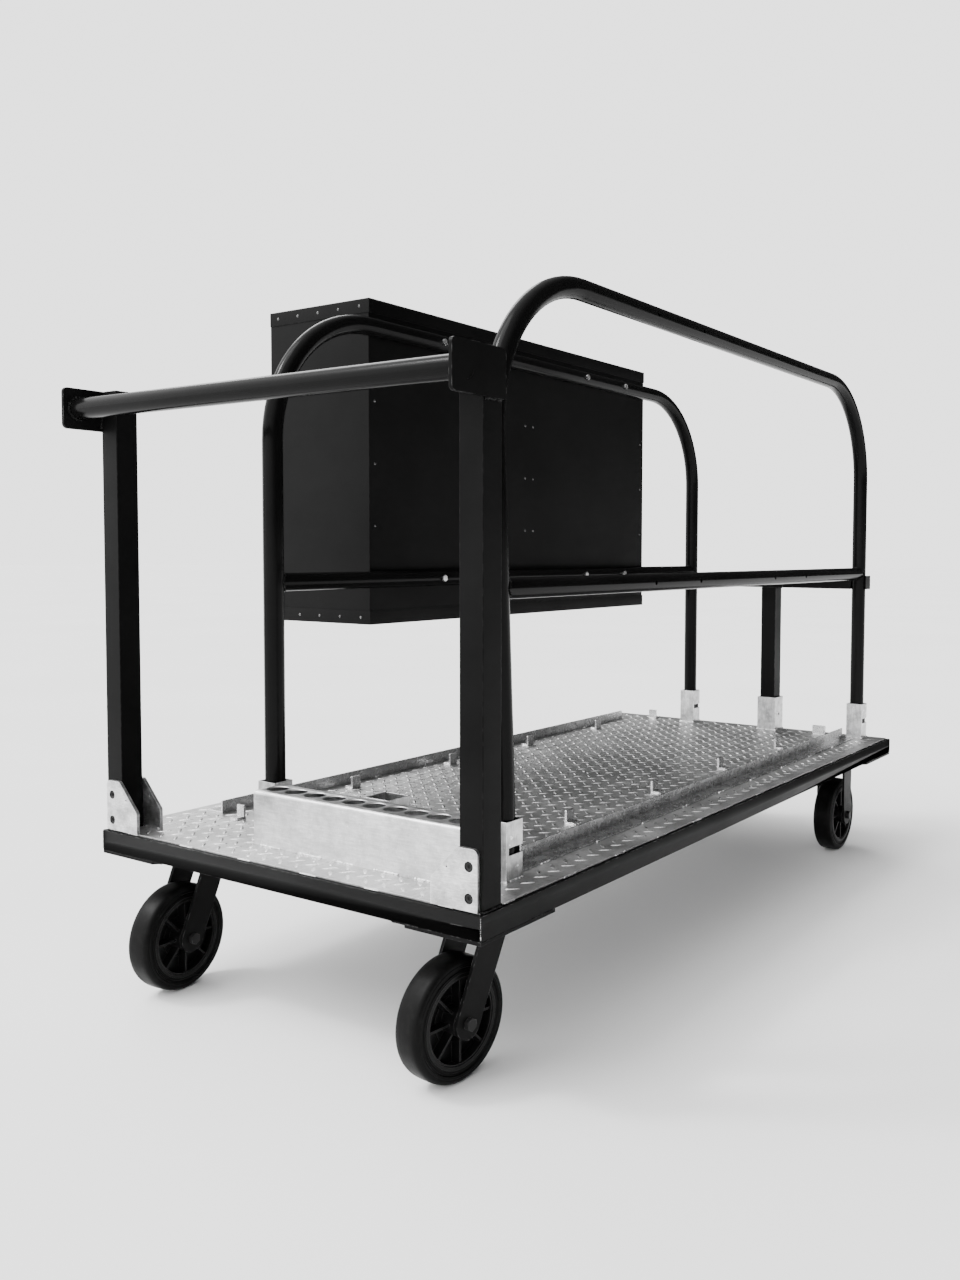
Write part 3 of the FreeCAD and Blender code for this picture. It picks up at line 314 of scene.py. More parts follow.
def rubber(name):
    """Black tyre rubber with dust caught in its face."""
    material, tree, shader, coords = new_material(name)
    dust = ramp(tree, noise(tree, coords, 55.0, 7.0, 0.7), ((0.50, 0.0), (0.80, 0.35)))
    colour = mix(tree, dust, (0.003, 0.003, 0.003), (0.018, 0.018, 0.017))
    tree.links.new(colour, shader.inputs["Base Color"])
    rough = ramp(tree, noise(tree, coords, 30.0), ((0.3, 0.30), (0.7, 0.52)))
    tree.links.new(rough, shader.inputs["Roughness"])
    shader.inputs["Specular IOR Level"].default_value = 0.06
    grain = noise(tree, coords, 900.0, 3.0)
    scuffs = noise(tree, coords, 120.0, 5.0, 0.65, (3.0, 1.0, 1.0))
    bump(tree, shader, ((grain, 0.22, 0.0004), (scuffs, 0.12, 0.0008)))
    return material


def moulded_plastic(name):
    """Moulded wheel centre: satin, with faint flow marks."""
    material, tree, shader, coords = new_material(name)
    flow = noise(tree, coords, 38.0, 4.0)
    colour = ramp(tree, flow, ((0.3, 0.002), (0.75, 0.007)))
    shader.inputs["Specular IOR Level"].default_value = 0.13
    # lighter edges: rubbed wear plus a painted edge highlight
    worn_and_lit_edges = edge_wear_and_highlight(tree, 0.0014)
    tree.links.new(mix(tree, worn_and_lit_edges, colour, (0.05, 0.05, 0.05)), shader.inputs["Base Color"])
    tree.links.new(ramp(tree, flow, ((0.3, 0.30), (0.7, 0.46))), shader.inputs["Roughness"])
    bump(tree, shader, ((noise(tree, coords, 800.0, 2.0), 0.12, 0.0003),))
    return material


def tread_metal(name):
    """Tread sheet: bright rubbed lugs over a duller field, with dirt between them."""
    material, tree, shader, coords = new_material(name)
    shader.inputs["Metallic"].default_value = 1.0
    clouds = noise(tree, coords, 9.0, 7.0, 0.66)
    colour = ramp(tree, clouds, ((0.28, 0.34), (0.72, 0.56)))
    grime = ramp(tree, noise(tree, coords, 120.0, 6.0, 0.7), ((0.50, 0.0), (0.70, 0.55)))
    colour = mix(tree, grime, colour, (0.13, 0.127, 0.124))
    rolled = noise(tree, coords, 90.0, 3.0, 0.5, (1.0, 0.05, 1.0))
    colour = mix(tree, ramp(tree, rolled, ((0.55, 0.0), (0.75, 0.4))), colour, (0.74, 0.74, 0.75))
    tree.links.new(colour, shader.inputs["Base Color"])
    tree.links.new(ramp(tree, clouds, ((0.25, 0.34), (0.75, 0.52))), shader.inputs["Roughness"])
    pits = noise(tree, coords, 650.0, 3.0)
    bump(tree, shader, ((pits, 0.30, 0.0005), (clouds, 0.15, 0.002)))
    return material


def floor_paper(name):
    """Pale studio floor."""
    material, tree, shader, coords = new_material(name)
    tone = ramp(tree, noise(tree, coords, 0.8, 2.0), ((0.3, 0.90), (0.7, 0.93)))
    tree.links.new(tone, shader.inputs["Base Color"])
    shader.inputs["Roughness"].default_value = 0.85
    shader.inputs["Specular IOR Level"].default_value = 0.15
    return material


FRAME_PAINT = powder_coat("frame_powder_coat", 0.002, 0.006, 0.34, 0.50, 1100.0, 0.09, 0.045)
TUBE_PAINT = powder_coat("tube_powder_coat", 0.002, 0.005, 0.13, 0.22, 1300.0, 0.05, 0.06)
SHEET_PAINT = powder_coat("sheet_powder_coat", 0.002, 0.005, 0.36, 0.52, 1500.0, 0.05, 0.055)
RIVET_PAINT = powder_coat("rivet_paint", 0.012, 0.030, 0.18, 0.30, 900.0, 0.30, 0.7)
FORK_PAINT = powder_coat("fork_paint", 0.002, 0.007, 0.28, 0.44, 900.0, 0.12, 0.06)
DARK_STEEL = powder_coat("black_oxide", 0.005, 0.012, 0.34, 0.5, 700.0, 0.10, 0.18)
PLATE_METAL = bare_aluminium("gusset_aluminium", 0.40, 0.86, 0.30, 0.50, (1.0, 1.0, 9.0), 0.5)
SOCKET_METAL = bare_aluminium("socket_aluminium", 0.34, 0.76, 0.26, 0.42, (8.0, 8.0, 0.6), 0.45)
RAIL_METAL = bare_aluminium("rail_aluminium", 0.62, 0.80, 0.22, 0.32, (6.0, 0.5, 6.0), 0.2)
HOLDER_METAL = bare_aluminium("holder_aluminium", 0.54, 0.80, 0.30, 0.48, (0.6, 6.0, 6.0), 0.3)
DECK_METAL = tread_metal("tread_sheet")
LUG_METAL = bright_steel("tread_lug_metal", 0.84, 0.30, 500.0)
ZINC = bright_steel("zinc_plate", 0.72, 0.30)
WELD_AND_HIGHLIGHT_METAL = bright_steel("weld_and_highlight_metal", 0.88, 0.34)
TYRE_RUBBER = rubber("tyre_rubber")
HUB_PLASTIC = moulded_plastic("hub_moulding")

LOOKS = {
    "deck_frame": FRAME_PAINT, "corner_plates": FRAME_PAINT,
    "handle_post_left": FRAME_PAINT, "handle_post_right": FRAME_PAINT,
    "handle_plates": FRAME_PAINT, "t_post": FRAME_PAINT, "t_bar": FRAME_PAINT,
    "handle_bar": TUBE_PAINT, "hoop_tube_left": TUBE_PAINT, "hoop_tube_right": TUBE_PAINT,
    "lower_rail_left": TUBE_PAINT, "lower_rail_right": TUBE_PAINT,
    "tread_plate": DECK_METAL, "deck_rivets": ZINC,
    "gusset_plates": PLATE_METAL, "post_screws": DARK_STEEL,
    "hoop_sockets": SOCKET_METAL, "t_socket_rear": SOCKET_METAL, "t_socket_front": SOCKET_METAL,
    "angle_rail_left": RAIL_METAL, "angle_rail_right": RAIL_METAL, "deck_clips": RAIL_METAL,
    "stake_holder": HOLDER_METAL,
    "box_shell": SHEET_PAINT, "box_top": SHEET_PAINT, "box_bottom": SHEET_PAINT,
    "box_partition": SHEET_PAINT, "box_door_front": SHEET_PAINT, "box_door_rear": SHEET_PAINT,
    "box_rivets": SHEET_PAINT, "box_bolts": ZINC,
    "hinge_fixed_leaves": DARK_STEEL, "hinge_leaf_front": DARK_STEEL, "hinge_leaf_rear": DARK_STEEL,
    "door_pull_front": DARK_STEEL, "door_pull_rear": DARK_STEEL,
    "caster_bolts": ZINC,
}
for corner in ("fl", "fr", "rl", "rr"):
    LOOKS["caster_fork_" + corner] = FORK_PAINT
    LOOKS["caster_axle_" + corner] = DARK_STEEL
    LOOKS["caster_tyre_" + corner] = TYRE_RUBBER
    LOOKS["caster_hub_" + corner] = HUB_PLASTIC
    LOOKS["caster_bearing_" + corner] = ZINC
for corner in ("fl", "fr"):
    LOOKS["caster_base_" + corner] = FORK_PAINT

# width of the rounded edge on each carried-over node, in millimetres
EDGE_ROUND = {
    "deck_frame": 1.6, "corner_plates": 0.8, "handle_post_left": 1.8, "handle_post_right": 1.8,
    "handle_plates": 0.9, "t_post": 1.6, "t_bar": 1.2, "gusset_plates": 0.7, "hoop_sockets": 0.7,
    "t_socket_rear": 0.8, "t_socket_front": 0.8, "angle_rail_left": 0.6, "angle_rail_right": 0.6,
    "deck_clips": 0.6, "box_door_front": 0.5, "box_door_rear": 0.5,
    "box_bolts": 0.5, "caster_bolts": 0.6,
    "caster_fork_fl": 0.9, "caster_fork_fr": 0.9, "caster_fork_rl": 0.9, "caster_fork_rr": 0.9,
    "caster_hub_fl": 0.8, "caster_hub_fr": 0.8, "caster_hub_rl": 0.8, "caster_hub_rr": 0.8,
    "caster_axle_fl": 0.6, "caster_axle_fr": 0.6, "caster_axle_rl": 0.6, "caster_axle_rr": 0.6,
    "caster_base_fl": 0.7, "caster_base_fr": 0.7, "tread_plate": 0.5,
}


def dress_nodes():
    """Gives each carried-over node its material and softened edges."""
    for name, node in NODES.items():
        node.data.materials.clear()
        node.data.materials.append(LOOKS[name])
        for polygon in node.data.polygons:
            polygon.use_smooth = True
            polygon.material_index = 0
        weld = node.modifiers.new("join", "WELD")
        weld.merge_threshold = 1e-6
        if name in EDGE_ROUND:
            rounding = node.modifiers.new("soft_edges", "BEVEL")
            rounding.width = EDGE_ROUND[name] * MM
            rounding.segments = 2
            rounding.limit_method = "ANGLE"
            rounding.angle_limit = math.radians(40)
            rounding.harden_normals = False
            rounding.offset_type = "WIDTH"
        tidy = node.modifiers.new("flat_faces", "WEIGHTED_NORMAL")
        tidy.keep_sharp = True
        node.data.set_sharp_from_angle(angle=math.radians(35))


# ---------------------------------------------------------------- welds
def bead(pile, points, radius, closed=False, seed=1):
    """Rippled weld along a line of points."""
    dice = random.Random(seed)
    line = [Vector(p) for p in points]
    if closed:
        line.append(line[0])
    samples = []
    step = WELD_RIPPLE / 3
    for start, end in zip(line, line[1:]):
        run = end - start
        count = max(1, int(run.length / step))
        samples.extend(start + run * (i / count) for i in range(count))
    if not closed:
        samples.append(line[-1])
    rings = []
    travelled = 0.0
    sides = 8
    for i, point in enumerate(samples):
        before = samples[i - 1] if i or closed else point
        after = samples[(i + 1) % len(samples)] if closed or i + 1 < len(samples) else point
        along = (after - before).normalized()
        side = along.cross(Z_AXIS)
        if side.length < 0.2:
            side = along.cross(X_AXIS)
        side.normalize()
        other = along.cross(side)
        travelled += (point - samples[i - 1]).length if i else 0.0
        ripple = 0.16 * math.sin(2 * math.pi * travelled / WELD_RIPPLE)
        size = radius * (1 + ripple + dice.uniform(-0.09, 0.09))
        if not closed and (i == 0 or i == len(samples) - 1):
            size *= 0.45
        centre = point + Vector([dice.uniform(-0.12, 0.12) * radius for _ in range(3)])
        ring = []
        for j in range(sides):
            angle = 2 * math.pi * j / sides
            ring.append(centre + side * (size * math.cos(angle)) + other * (size * math.sin(angle)))
        rings.append(ring)
    pile.rings(rings, closed=closed)


def around(box, height, out=0.4 * MM):
    """Corners of a rectangle round a box at one height."""
    low, high = box
    return [(low.x - out, low.y - out, height), (high.x + out, low.y - out, height),
            (high.x + out, high.y + out, height), (low.x - out, high.y + out, height)]


def stitches(pile, start, end, length, gap, radius, seed):
    """Short welds with gaps along a straight line."""
    dice = random.Random(seed)
    start = Vector(start)
    run = Vector(end) - start
    total = run.length
    along = run.normalized()
    place = gap * 0.5
    while place + length < total:
        size = length * dice.uniform(0.8, 1.15)
        bead(pile, (start + along * place, start + along * (place + size)), radius,
             seed=dice.randint(1, 9999))
        place += length + gap * dice.uniform(0.9, 1.1)


def ring_points(centre, radius, axis, count=40):
    """Points of a circle about an axis."""
    turn = axis.to_track_quat("Z", "Y").to_matrix()
    points = []
    for i in range(count):
        angle = 2 * math.pi * i / count
        points.append(centre + turn @ Vector((radius * math.cos(angle), radius * math.sin(angle), 0)))
    return points


def deck_welds():
    """Bright welds that hold the aluminium pieces to the deck."""
    pile = Pile()
    for i, box in enumerate(islands("hoop_sockets") + islands("t_socket_rear") + islands("t_socket_front")):
        bead(pile, around(box, 0.6 * MM), 2.4 * MM, True, 20 + i)
    holder_low, holder_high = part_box("stake_holder")
    height = 0.6 * MM
    stitches(pile, (holder_low.x, holder_low.y, height), (holder_high.x, holder_low.y, height),
             58 * MM, 34 * MM, 2.0 * MM, 3)
    stitches(pile, (holder_low.x, holder_high.y, height), (holder_high.x, holder_high.y, height),
             40 * MM, 60 * MM, 2.0 * MM, 4)
    bead(pile, ((holder_low.x, holder_low.y, height), (holder_low.x, holder_high.y, height)), 2.0 * MM,
         seed=5)
    for name, seed in (("angle_rail_left", 6), ("angle_rail_right", 7)):
        low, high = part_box(name)
        outer = low.x if name.endswith("left") else high.x
        inner = high.x if name.endswith("left") else low.x
        stitches(pile, (outer, low.y, height), (outer, high.y, height), 30 * MM, 150 * MM, 2.0 * MM, seed)
        stitches(pile, (inner, low.y, height), (inner, high.y, height), 22 * MM, 290 * MM, 1.7 * MM,
                 seed + 10)
    for i, (low, high) in enumerate(islands("deck_clips")):
        middle = (low + high) / 2
        if high.y - low.y > high.x - low.x or abs(middle.x) < 0.27 and high.x - low.x < 24 * MM:
            outer = high.x if middle.x > 0 else low.x
            bead(pile, ((outer, low.y + 2 * MM, height), (outer, high.y - 2 * MM, height)), 1.8 * MM,
                 seed=40 + i)
        for y in (low.y, high.y):
            bead(pile, ((low.x + 2 * MM, y, height), (high.x - 2 * MM, y, height)), 1.6 * MM, seed=60 + i)
    for i, (low, high) in enumerate(islands("gusset_plates")):
        for y in (low.y, high.y):
            if y < PLATE_LOW.y:
                continue
            bead(pile, ((low.x + 3 * MM, y, height), (high.x - 3 * MM, y, height)), 1.9 * MM, seed=80 + i)
    edge = PLATE_HIGH - Vector((0.4, 0.4, 0)) * MM
    low_edge = PLATE_LOW + Vector((0.4, 0.4, 0)) * MM
    z = PLATE_HIGH.z - 2.2 * MM
    corners = [(low_edge.x, low_edge.y, z), (edge.x, low_edge.y, z), (edge.x, edge.y, z),
               (low_edge.x, edge.y, z)]
    for i in range(4):
        stitches(pile, corners[i], corners[(i + 1) % 4], 34 * MM, 118 * MM, 1.9 * MM, 90 + i)
    pile.object("deck_welds", "cart", WELD_AND_HIGHLIGHT_METAL)


def handle_welds():
    """Painted welds of the posts, handle plates and bar."""
    pile = Pile()
    bar_y = (BAR_LOW.y + BAR_HIGH.y) / 2
    bar_z = (BAR_LOW.z + BAR_HIGH.z) / 2
    bar_r = (BAR_HIGH.z - BAR_LOW.z) / 2
    plate_low, plate_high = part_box("handle_plates")
    for i, (side, post) in enumerate(((-1, "handle_post_left"), (1, "handle_post_right"))):
        low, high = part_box(post)
        end = side * (BAR_HIGH.x - 1.2 * MM)
        bead(pile, ring_points(Vector((end, bar_y, bar_z)), bar_r + 1.2 * MM, X_AXIS), 3.0 * MM, True,
             100 + i)
        bead(pile, around((low, high), high.z - 0.8 * MM, -0.5 * MM), 1.5 * MM, True, 102 + i)
        face = high.x if side > 0 else low.x
        bead(pile, ((face + side * 0.8 * MM, low.y + 3 * MM, plate_low.z - 0.6 * MM),
                    (face + side * 0.8 * MM, high.y - 3 * MM, plate_low.z - 0.6 * MM)), 2.6 * MM, seed=104 + i)
        bead(pile, ((face - side * 0.6 * MM, low.y - 0.8 * MM, plate_low.z + 5 * MM),
                    (face - side * 0.6 * MM, low.y - 0.8 * MM, plate_high.z - 6 * MM)), 2.4 * MM, seed=106 + i)
        bead(pile, around((low, high), PLATE_HIGH.z + 0.6 * MM), 2.2 * MM, True, 108 + i)
        for x in (low.x, high.x):
            for y, out in ((low.y, -1), (high.y, 1)):
                if x == face:
                    continue
                bead(pile, ((x, y + out * 0.6 * MM, 6 * MM), (x, y + out * 0.6 * MM, 84 * MM)),
                     1.2 * MM, seed=110 + i)
    pile.object("handle_welds", "cart", TUBE_PAINT)


def frame_welds():
    """Painted welds at the frame's mitres and round the corner plates."""
    pile = Pile()
    half_x = FRAME_HIGH.x
    half_y = FRAME_HIGH.y
    tube = FRAME_HIGH.z - FRAME_LOW.z
    for i, (sx, sy) in enumerate(((-1, -1), (1, -1), (1, 1), (-1, 1))):
        x = sx * (half_x - 0.5 * MM)
        y = sy * (half_y - 0.5 * MM)
        bead(pile, ((x, y, FRAME_LOW.z + 2 * MM), (x, y, FRAME_HIGH.z - 1 * MM)), 1.4 * MM, seed=120 + i)
        top_z = FRAME_HIGH.z - 0.3 * MM
        bead(pile, ((x, y, top_z), (sx * (half_x - 8 * MM), sy * (half_y - 8 * MM), top_z)), 1.2 * MM,
             seed=124 + i)
        bead(pile, ((sx * (half_x - 0.176), y - sy * 1 * MM, FRAME_LOW.z),
                    (sx * (half_x - 0.120), y - sy * 1 * MM, FRAME_LOW.z)), 2.0 * MM, seed=128 + i)
        bead(pile, ((x - sx * 1 * MM, sy * (half_y - 0.190), FRAME_LOW.z),
                    (x - sx * 1 * MM, sy * (half_y - 0.130), FRAME_LOW.z)), 2.0 * MM, seed=132 + i)
        inner_x = sx * (half_x - tube)
        inner_y = sy * (half_y - tube)
        bead(pile, ((inner_x, inner_y, FRAME_LOW.z), (inner_x, inner_y, FRAME_HIGH.z)), 1.6 * MM,
             seed=136 + i)
    for low, high in islands("deck_frame"):
        if high.x - low.x < 2 * half_x - 0.02 and high.x - low.x > high.y - low.y:
            for x in (low.x, high.x):
                for y in (low.y, high.y):
                    bead(pile, ((x, y, low.z + 1 * MM), (x, y, high.z - 1 * MM)), 2.0 * MM, seed=140)
                bead(pile, ((x, low.y, low.z), (x, high.y, low.z)), 2.0 * MM, seed=141)
    pile.object("frame_welds", "cart", FRAME_PAINT)


def corner_highlights_and_weld_marks():
    """Painted highlight lines down the front corners, each with a small bright blob near its foot, and the
    bar's weld showing through its plates.
    """
    pile = Pile()
    # thin bright lines down both front corner edges, with a small blob near each foot: a painted highlight
    for i, side in enumerate((-1, 1)):
        x = side * (FRAME_HIGH.x + 0.2 * MM)
        y = FRAME_LOW.y - 0.2 * MM
        bead(pile, ((x, y, FRAME_LOW.z + 3 * MM), (x, y, FRAME_HIGH.z - 2 * MM)), 0.35 * MM, seed=170 + i)
        bead(pile, ((x, y, FRAME_LOW.z + 5 * MM), (x, y, FRAME_LOW.z + 10 * MM)), 0.7 * MM, seed=172 + i)
    pile.object("painted_corner_highlights", "cart", WELD_AND_HIGHLIGHT_METAL)
    pile = Pile()
    plate_low, plate_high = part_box("handle_plates")
    radius = (BAR_HIGH.z - BAR_LOW.z) / 2 - 1 * MM
    for side, face in ((-1, plate_low.x), (1, plate_high.x)):
        points = []
        for step in range(9):
            angle = math.radians(-8 - 9 * step)
            points.append((face - side * 0.1 * MM, (BAR_LOW.y + BAR_HIGH.y) / 2 + radius * math.cos(angle),
                           (BAR_LOW.z + BAR_HIGH.z) / 2 + radius * math.sin(angle)))
        bead(pile, points, 0.7 * MM, seed=176)
    pile.object("bar_weld_marks", "cart", DARK_STEEL)


def hoop_welds(side):
    """Painted welds where the lower rail meets the legs."""
    pile = Pile()
    low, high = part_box("lower_rail_" + side)
    leg_low, leg_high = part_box("hoop_tube_" + side)
    middle = (low + high) / 2
    radius = (high.z - low.z) / 2
    leg_r = (leg_high.x - leg_low.x) / 2
    cope = math.sqrt(leg_r ** 2 - radius ** 2)
    for end, leg_y in ((1, low.y - cope), (-1, high.y + cope)):
        points = []
        for i in range(36):
            angle = 2 * math.pi * i / 36
            x = radius * math.cos(angle)
            z = radius * math.sin(angle)
            y = leg_y + end * math.sqrt(max(0.0, leg_r ** 2 - x ** 2))
            points.append((middle.x + x * 1.03, y + end * 0.8 * MM, middle.z + z * 1.03))
        bead(pile, points, 2.3 * MM, True, 150 if end > 0 else 151)
    pile.object("hoop_welds_" + side, side + "_hoop", TUBE_PAINT)


def cross_bar_welds():
    """Painted weld where the cross bar sits on its post."""
    pile = Pile()
    low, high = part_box("t_post")
    bar_low, bar_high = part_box("t_bar")
    z = bar_low.z - 0.4 * MM
    y_high = min(high.y, bar_high.y)
    y_low = max(low.y, bar_low.y)
    bead(pile, ((low.x, y_low, z), (high.x, y_low, z), (high.x, y_high, z), (low.x, y_high, z)), 2.2 * MM,
         True, 160)
    for x in (bar_low.x + 1 * MM, bar_high.x - 1 * MM):
        top_z = bar_high.z - 0.8 * MM
        bead(pile, ((x, bar_low.y + 12 * MM, top_z), (x, bar_high.y - 4 * MM, top_z)), 1.3 * MM, seed=161)
    pile.object("cross_bar_welds", "cross_bar", FRAME_PAINT)


# ---------------------------------------------------------------- deck
def keep_clear():
    """Ground boxes of everything that stands on the deck."""
    boxes = []
    for node in ("hoop_sockets", "t_socket_rear", "t_socket_front", "deck_clips", "gusset_plates",
                 "angle_rail_left", "angle_rail_right", "stake_holder", "handle_post_left",
                 "handle_post_right", "deck_rivets"):
        boxes.extend(islands(node))
    return boxes


def tread_lugs():
    """Raised lens-shaped lugs, two families at right angles."""
    pile = Pile()
    taken = keep_clear()
    margin = LUG_LENGTH * 0.42
    outline = 12
    levels = ((0.0, 1.0), (0.62, 0.80), (0.95, 0.46))
    dice = random.Random(7)
    columns = int((PLATE_HIGH.x - PLATE_LOW.x) / LUG_PITCH) + 3
    rows = int((PLATE_HIGH.y - PLATE_LOW.y) / LUG_PITCH) + 3
    start_x = math.floor(PLATE_LOW.x / LUG_PITCH) * LUG_PITCH + LUG_PHASE.x
    start_y = math.floor(PLATE_LOW.y / LUG_PITCH) * LUG_PITCH + LUG_PHASE.y
    for i in range(-1, columns):
        for j in range(-1, rows):
            for family in (0, 1):
                x = start_x + (i + family / 2) * LUG_PITCH
                y = start_y + (j + family / 2) * LUG_PITCH
                if not (PLATE_LOW.x + margin < x < PLATE_HIGH.x - margin):
                    continue
                if not (PLATE_LOW.y + margin < y < PLATE_HIGH.y - margin):
                    continue
                reach = LUG_LENGTH * 0.36
                if any(low.x - reach < x < high.x + reach and low.y - reach < y < high.y + reach
                       for low, high in taken):
                    continue
                angle = math.radians(45 if family == 0 else -45)
                along = Vector((math.cos(angle), math.sin(angle), 0))
                across = Vector((-along.y, along.x, 0))
                centre = Vector((x, y, PLATE_HIGH.z))
                wear = dice.uniform(0.86, 1.0)
                rings = []
                for height, scale in levels:
                    ring = []
                    for k in range(outline):
                        t = 2 * math.pi * k / outline
                        u = math.cos(t) * LUG_LENGTH / 2 * (0.25 + 0.75 * scale)
                        v = math.sin(t) * abs(math.sin(t)) ** 0.35 * LUG_WIDTH / 2 * scale
                        lift = LUG_HEIGHT * height * wear * (1 - 0.35 * math.cos(t) ** 2 * height)
                        ring.append(centre + along * u + across * v + Z_AXIS * lift)
                    rings.append(ring)
                base = len(pile.verts)
                pile.rings(rings, caps=False)
                top = base + (len(levels) - 1) * outline
                pile.faces.append(tuple(top + k for k in range(outline)))
    pile.object("tread_lugs", "cart", LUG_METAL, 60)


def domes(node, name, body, material, centre_pin):
    """Replaces flat rivet stand-ins with pressed dome heads."""
    pile = Pile()
    for low, high in islands(node):
        size = high - low
        axis = min(range(3), key=lambda k: size[k])
        outward = Vector((0, 0, 0))
        middle = (low + high) / 2
        if axis == 2:
            outward.z = 1
        elif axis == 0:
            outward.x = 1
        else:
            outward.y = 1 if middle.y > 0 else -1
        foot = middle.copy()
        foot[axis] = low[axis] if outward[axis] > 0 else high[axis]
        radius = max(size) / 2
        height = size[axis]
        profile = [(-0.2 * MM, radius), (0.15 * height, radius), (0.55 * height, radius * 0.86),
                   (0.85 * height, radius * 0.6), (height, radius * 0.34)]
        if centre_pin:
            profile += [(0.80 * height, radius * 0.30), (0.78 * height, radius * 0.08)]
        pile.lathe(profile, foot, outward, 16)
    piece = pile.object(name, body, material, 50)
    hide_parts(node)


# ---------------------------------------------------------------- wheels
def wheel_place(corner):
    """Centre and axle direction of a wheel, from its joint."""
    for joint in frame["joints"]:
        if joint["name"] == "spin_" + corner:
            return Vector(joint["pos_m"]), Vector(joint["axis"]).normalized()
    raise KeyError(corner)


def tyre(corner):
    """Solid tyre: crowned tread, round shoulders, stepped sidewall with a raised ring."""
    centre, axis = wheel_place(corner)
    inset = [(0.8, 76.0), (0.8, 79.5), (2.4, 80.6), (2.4, 83.6), (0.1, 85.0), (0.1, 88.6),
             (1.1, 89.8), (1.0, 92.2), (2.4, 95.6), (5.1, 98.2), (9.0, 99.4), (16.0, 99.9)]
    side = [(TYRE_HALF - a * MM, r * MM) for a, r in inset]
    profile = [(-a, r) for a, r in side]
    profile += reversed(side)
    profile += [(TYRE_HALF * 0.9, 75.2 * MM), (-TYRE_HALF * 0.9, 75.2 * MM), (-side[0][0], side[0][1])]
    pile = Pile()
    pile.lathe(profile, centre, axis, 96, caps=False)
    piece = pile.object("tyre_" + corner, "wheel_" + corner, TYRE_RUBBER, 32)
    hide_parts("caster_tyre_" + corner)


def hub_trim(corner):
    """Dust caps over the bearing and a moulded bead inside the rim."""
    centre, axis = wheel_place(corner)
    pile = Pile()
    for way in (-1, 1):
        out = axis * way
        cap = [(30.8, 21.5), (31.9, 21.0), (32.4, 19.4), (32.4, 15.6), (31.2, 15.2)]
        pile.lathe([(a * MM, r * MM) for a, r in cap], centre, out, 40, caps=False)
        rim = [(3.5, 70.2), (1.6, 69.2), (1.6, 67.4), (4.0, 66.6), (7.0, 66.8)]
        pile.lathe([(TYRE_HALF - a * MM, r * MM) for a, r in rim], centre, out, 72, caps=False)
        step = [(3.2, 40.0), (5.4, 39.4), (5.4, 36.8), (3.2, 36.0)]
        pile.lathe([(a * MM, r * MM) for a, r in step], centre, out, 64, caps=False)
    pile.object("hub_trim_" + corner, "wheel_" + corner, HUB_PLASTIC, 40)


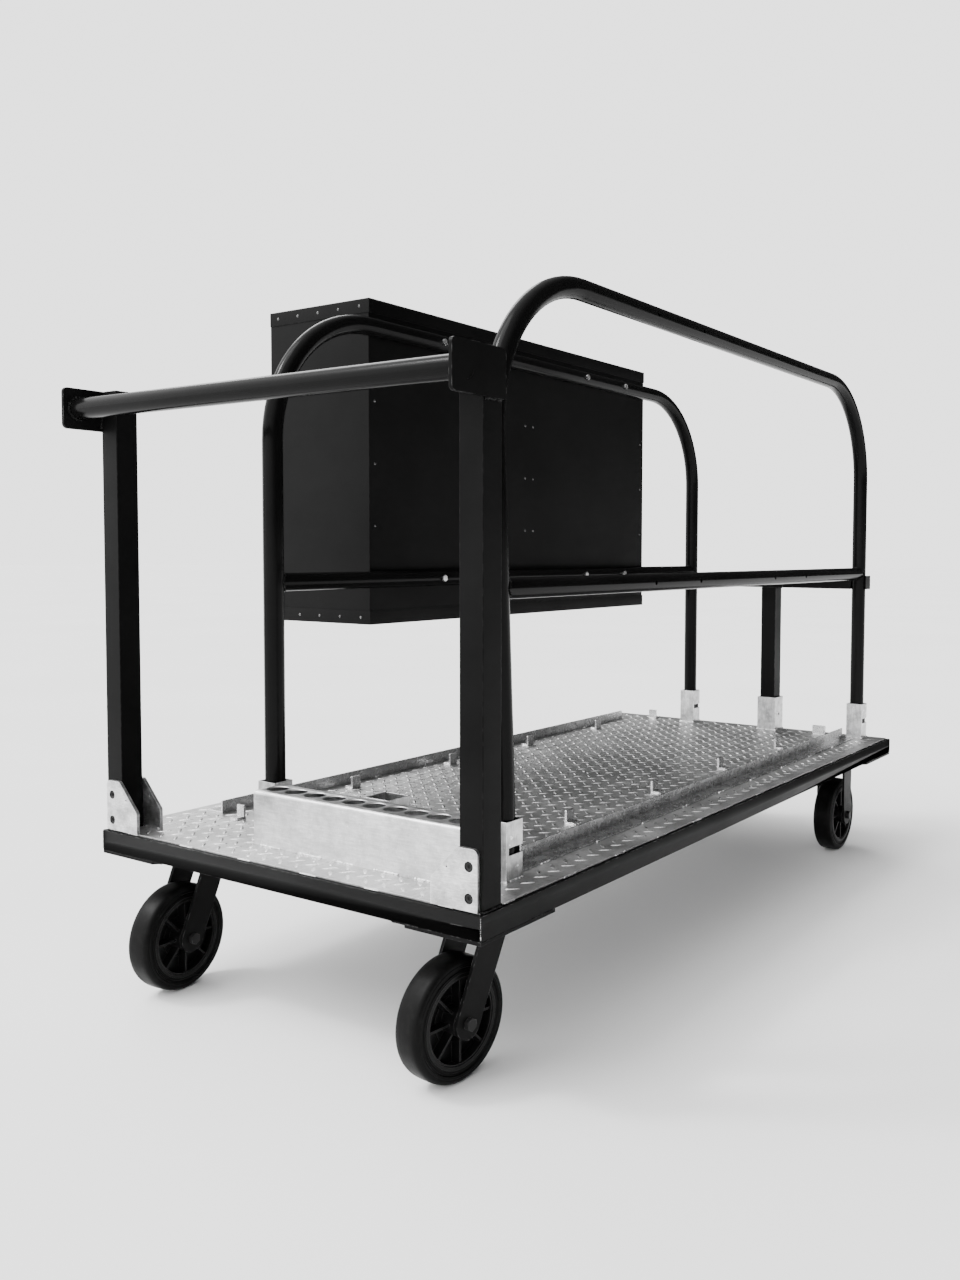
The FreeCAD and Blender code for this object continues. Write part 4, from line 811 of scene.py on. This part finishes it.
# ---------------------------------------------------------------- studio
def studio():
    """Pale floor, soft lights and the camera."""
    mesh = bpy.data.meshes.new("studio_floor")
    reach = 60.0
    floor_z = CAD_BOX[0][2] - 0.0005
    mesh.from_pydata([(-reach, -reach, floor_z), (reach, -reach, floor_z), (reach, reach, floor_z),
                      (-reach, reach, floor_z)], [], [(0, 1, 2, 3)])
    mesh.materials.append(floor_paper("floor_paper"))
    floor = bpy.data.objects.new("studio_floor", mesh)
    bpy.context.scene.collection.objects.link(floor)

    world = bpy.data.worlds.new("studio")
    bpy.context.scene.world = world
    world.use_nodes = True
    tree = world.node_tree
    background = tree.nodes["Background"]
    background.inputs["Color"].default_value = (1, 1, 1, 1)
    coords = tree.nodes.new("ShaderNodeTexCoord")
    facing = tree.nodes.new("ShaderNodeVectorMath")
    facing.operation = "DOT_PRODUCT"
    facing.inputs[1].default_value = BRIGHT_SIDE
    tree.links.new(coords.outputs["Generated"], facing.inputs[0])
    spread = tree.nodes.new("ShaderNodeMapRange")
    spread.interpolation_type = "SMOOTHSTEP"
    spread.inputs["From Min"].default_value = -0.30
    spread.inputs["From Max"].default_value = 1.0
    spread.inputs["To Min"].default_value = 0.08
    spread.inputs["To Max"].default_value = 3.4
    tree.links.new(facing.outputs["Value"], spread.inputs["Value"])
    tree.links.new(spread.outputs["Result"], background.inputs["Strength"])
    sky = tree.nodes.new("ShaderNodeBackground")
    sky.inputs["Color"].default_value = (1, 1, 1, 1)
    sky.inputs["Strength"].default_value = SKY_LEVEL
    path = tree.nodes.new("ShaderNodeLightPath")
    blend = tree.nodes.new("ShaderNodeMixShader")
    tree.links.new(path.outputs["Is Camera Ray"], blend.inputs["Fac"])
    tree.links.new(background.outputs["Background"], blend.inputs[1])
    tree.links.new(sky.outputs["Background"], blend.inputs[2])
    tree.links.new(blend.outputs["Shader"], tree.nodes["World Output"].inputs["Surface"])

    suns = (("overhead", (-0.45, -0.55, 1.0), 2.6, 44.0), ("highlight", (-0.75, -0.50, 1.0), 1.5, 9.0),
            ("rear_rim", (-0.9, 0.6, 0.8), 0.7, 24.0))
    for name, place, power, spread_deg in suns:
        light = bpy.data.lights.new(name, "SUN")
        light.energy = power
        light.angle = math.radians(spread_deg)
        lamp = bpy.data.objects.new(name, light)
        lamp.rotation_euler = Vector(place).to_track_quat("Z", "Y").to_euler()
        lamp.location = Vector(place) * 4
        bpy.context.scene.collection.objects.link(lamp)

    lens = bpy.data.cameras.new("camera")
    lens.sensor_width = 36.0
    lens.lens = 31.405
    lens.shift_x = -0.0711
    lens.shift_y = -0.0249
    lens.clip_start = 0.05
    lens.clip_end = 200.0
    camera = bpy.data.objects.new("camera", lens)
    yaw = math.radians(33.46)
    pitch = math.radians(-2.88)
    roll = math.radians(0.25)
    turn = (Matrix.Rotation(yaw, 4, "Z") @ Matrix.Rotation(math.pi / 2 + pitch, 4, "X")
            @ Matrix.Rotation(roll, 4, "Z"))
    camera.matrix_world = Matrix.Translation((1.4522, -2.2220, 0.5313)) @ turn
    bpy.context.scene.collection.objects.link(camera)
    bpy.context.scene.camera = camera


dress_nodes()
tread_lugs()
deck_welds()
handle_welds()
frame_welds()
corner_highlights_and_weld_marks()
for hoop_side in ("left", "right"):
    hoop_welds(hoop_side)
cross_bar_welds()
domes("box_rivets", "box_rivet_heads", "left_hoop", RIVET_PAINT, True)
domes("deck_rivets", "deck_rivet_heads", "cart", ZINC, False)
for corner in ("fl", "fr", "rl", "rr"):
    tyre(corner)
    hub_trim(corner)
studio()
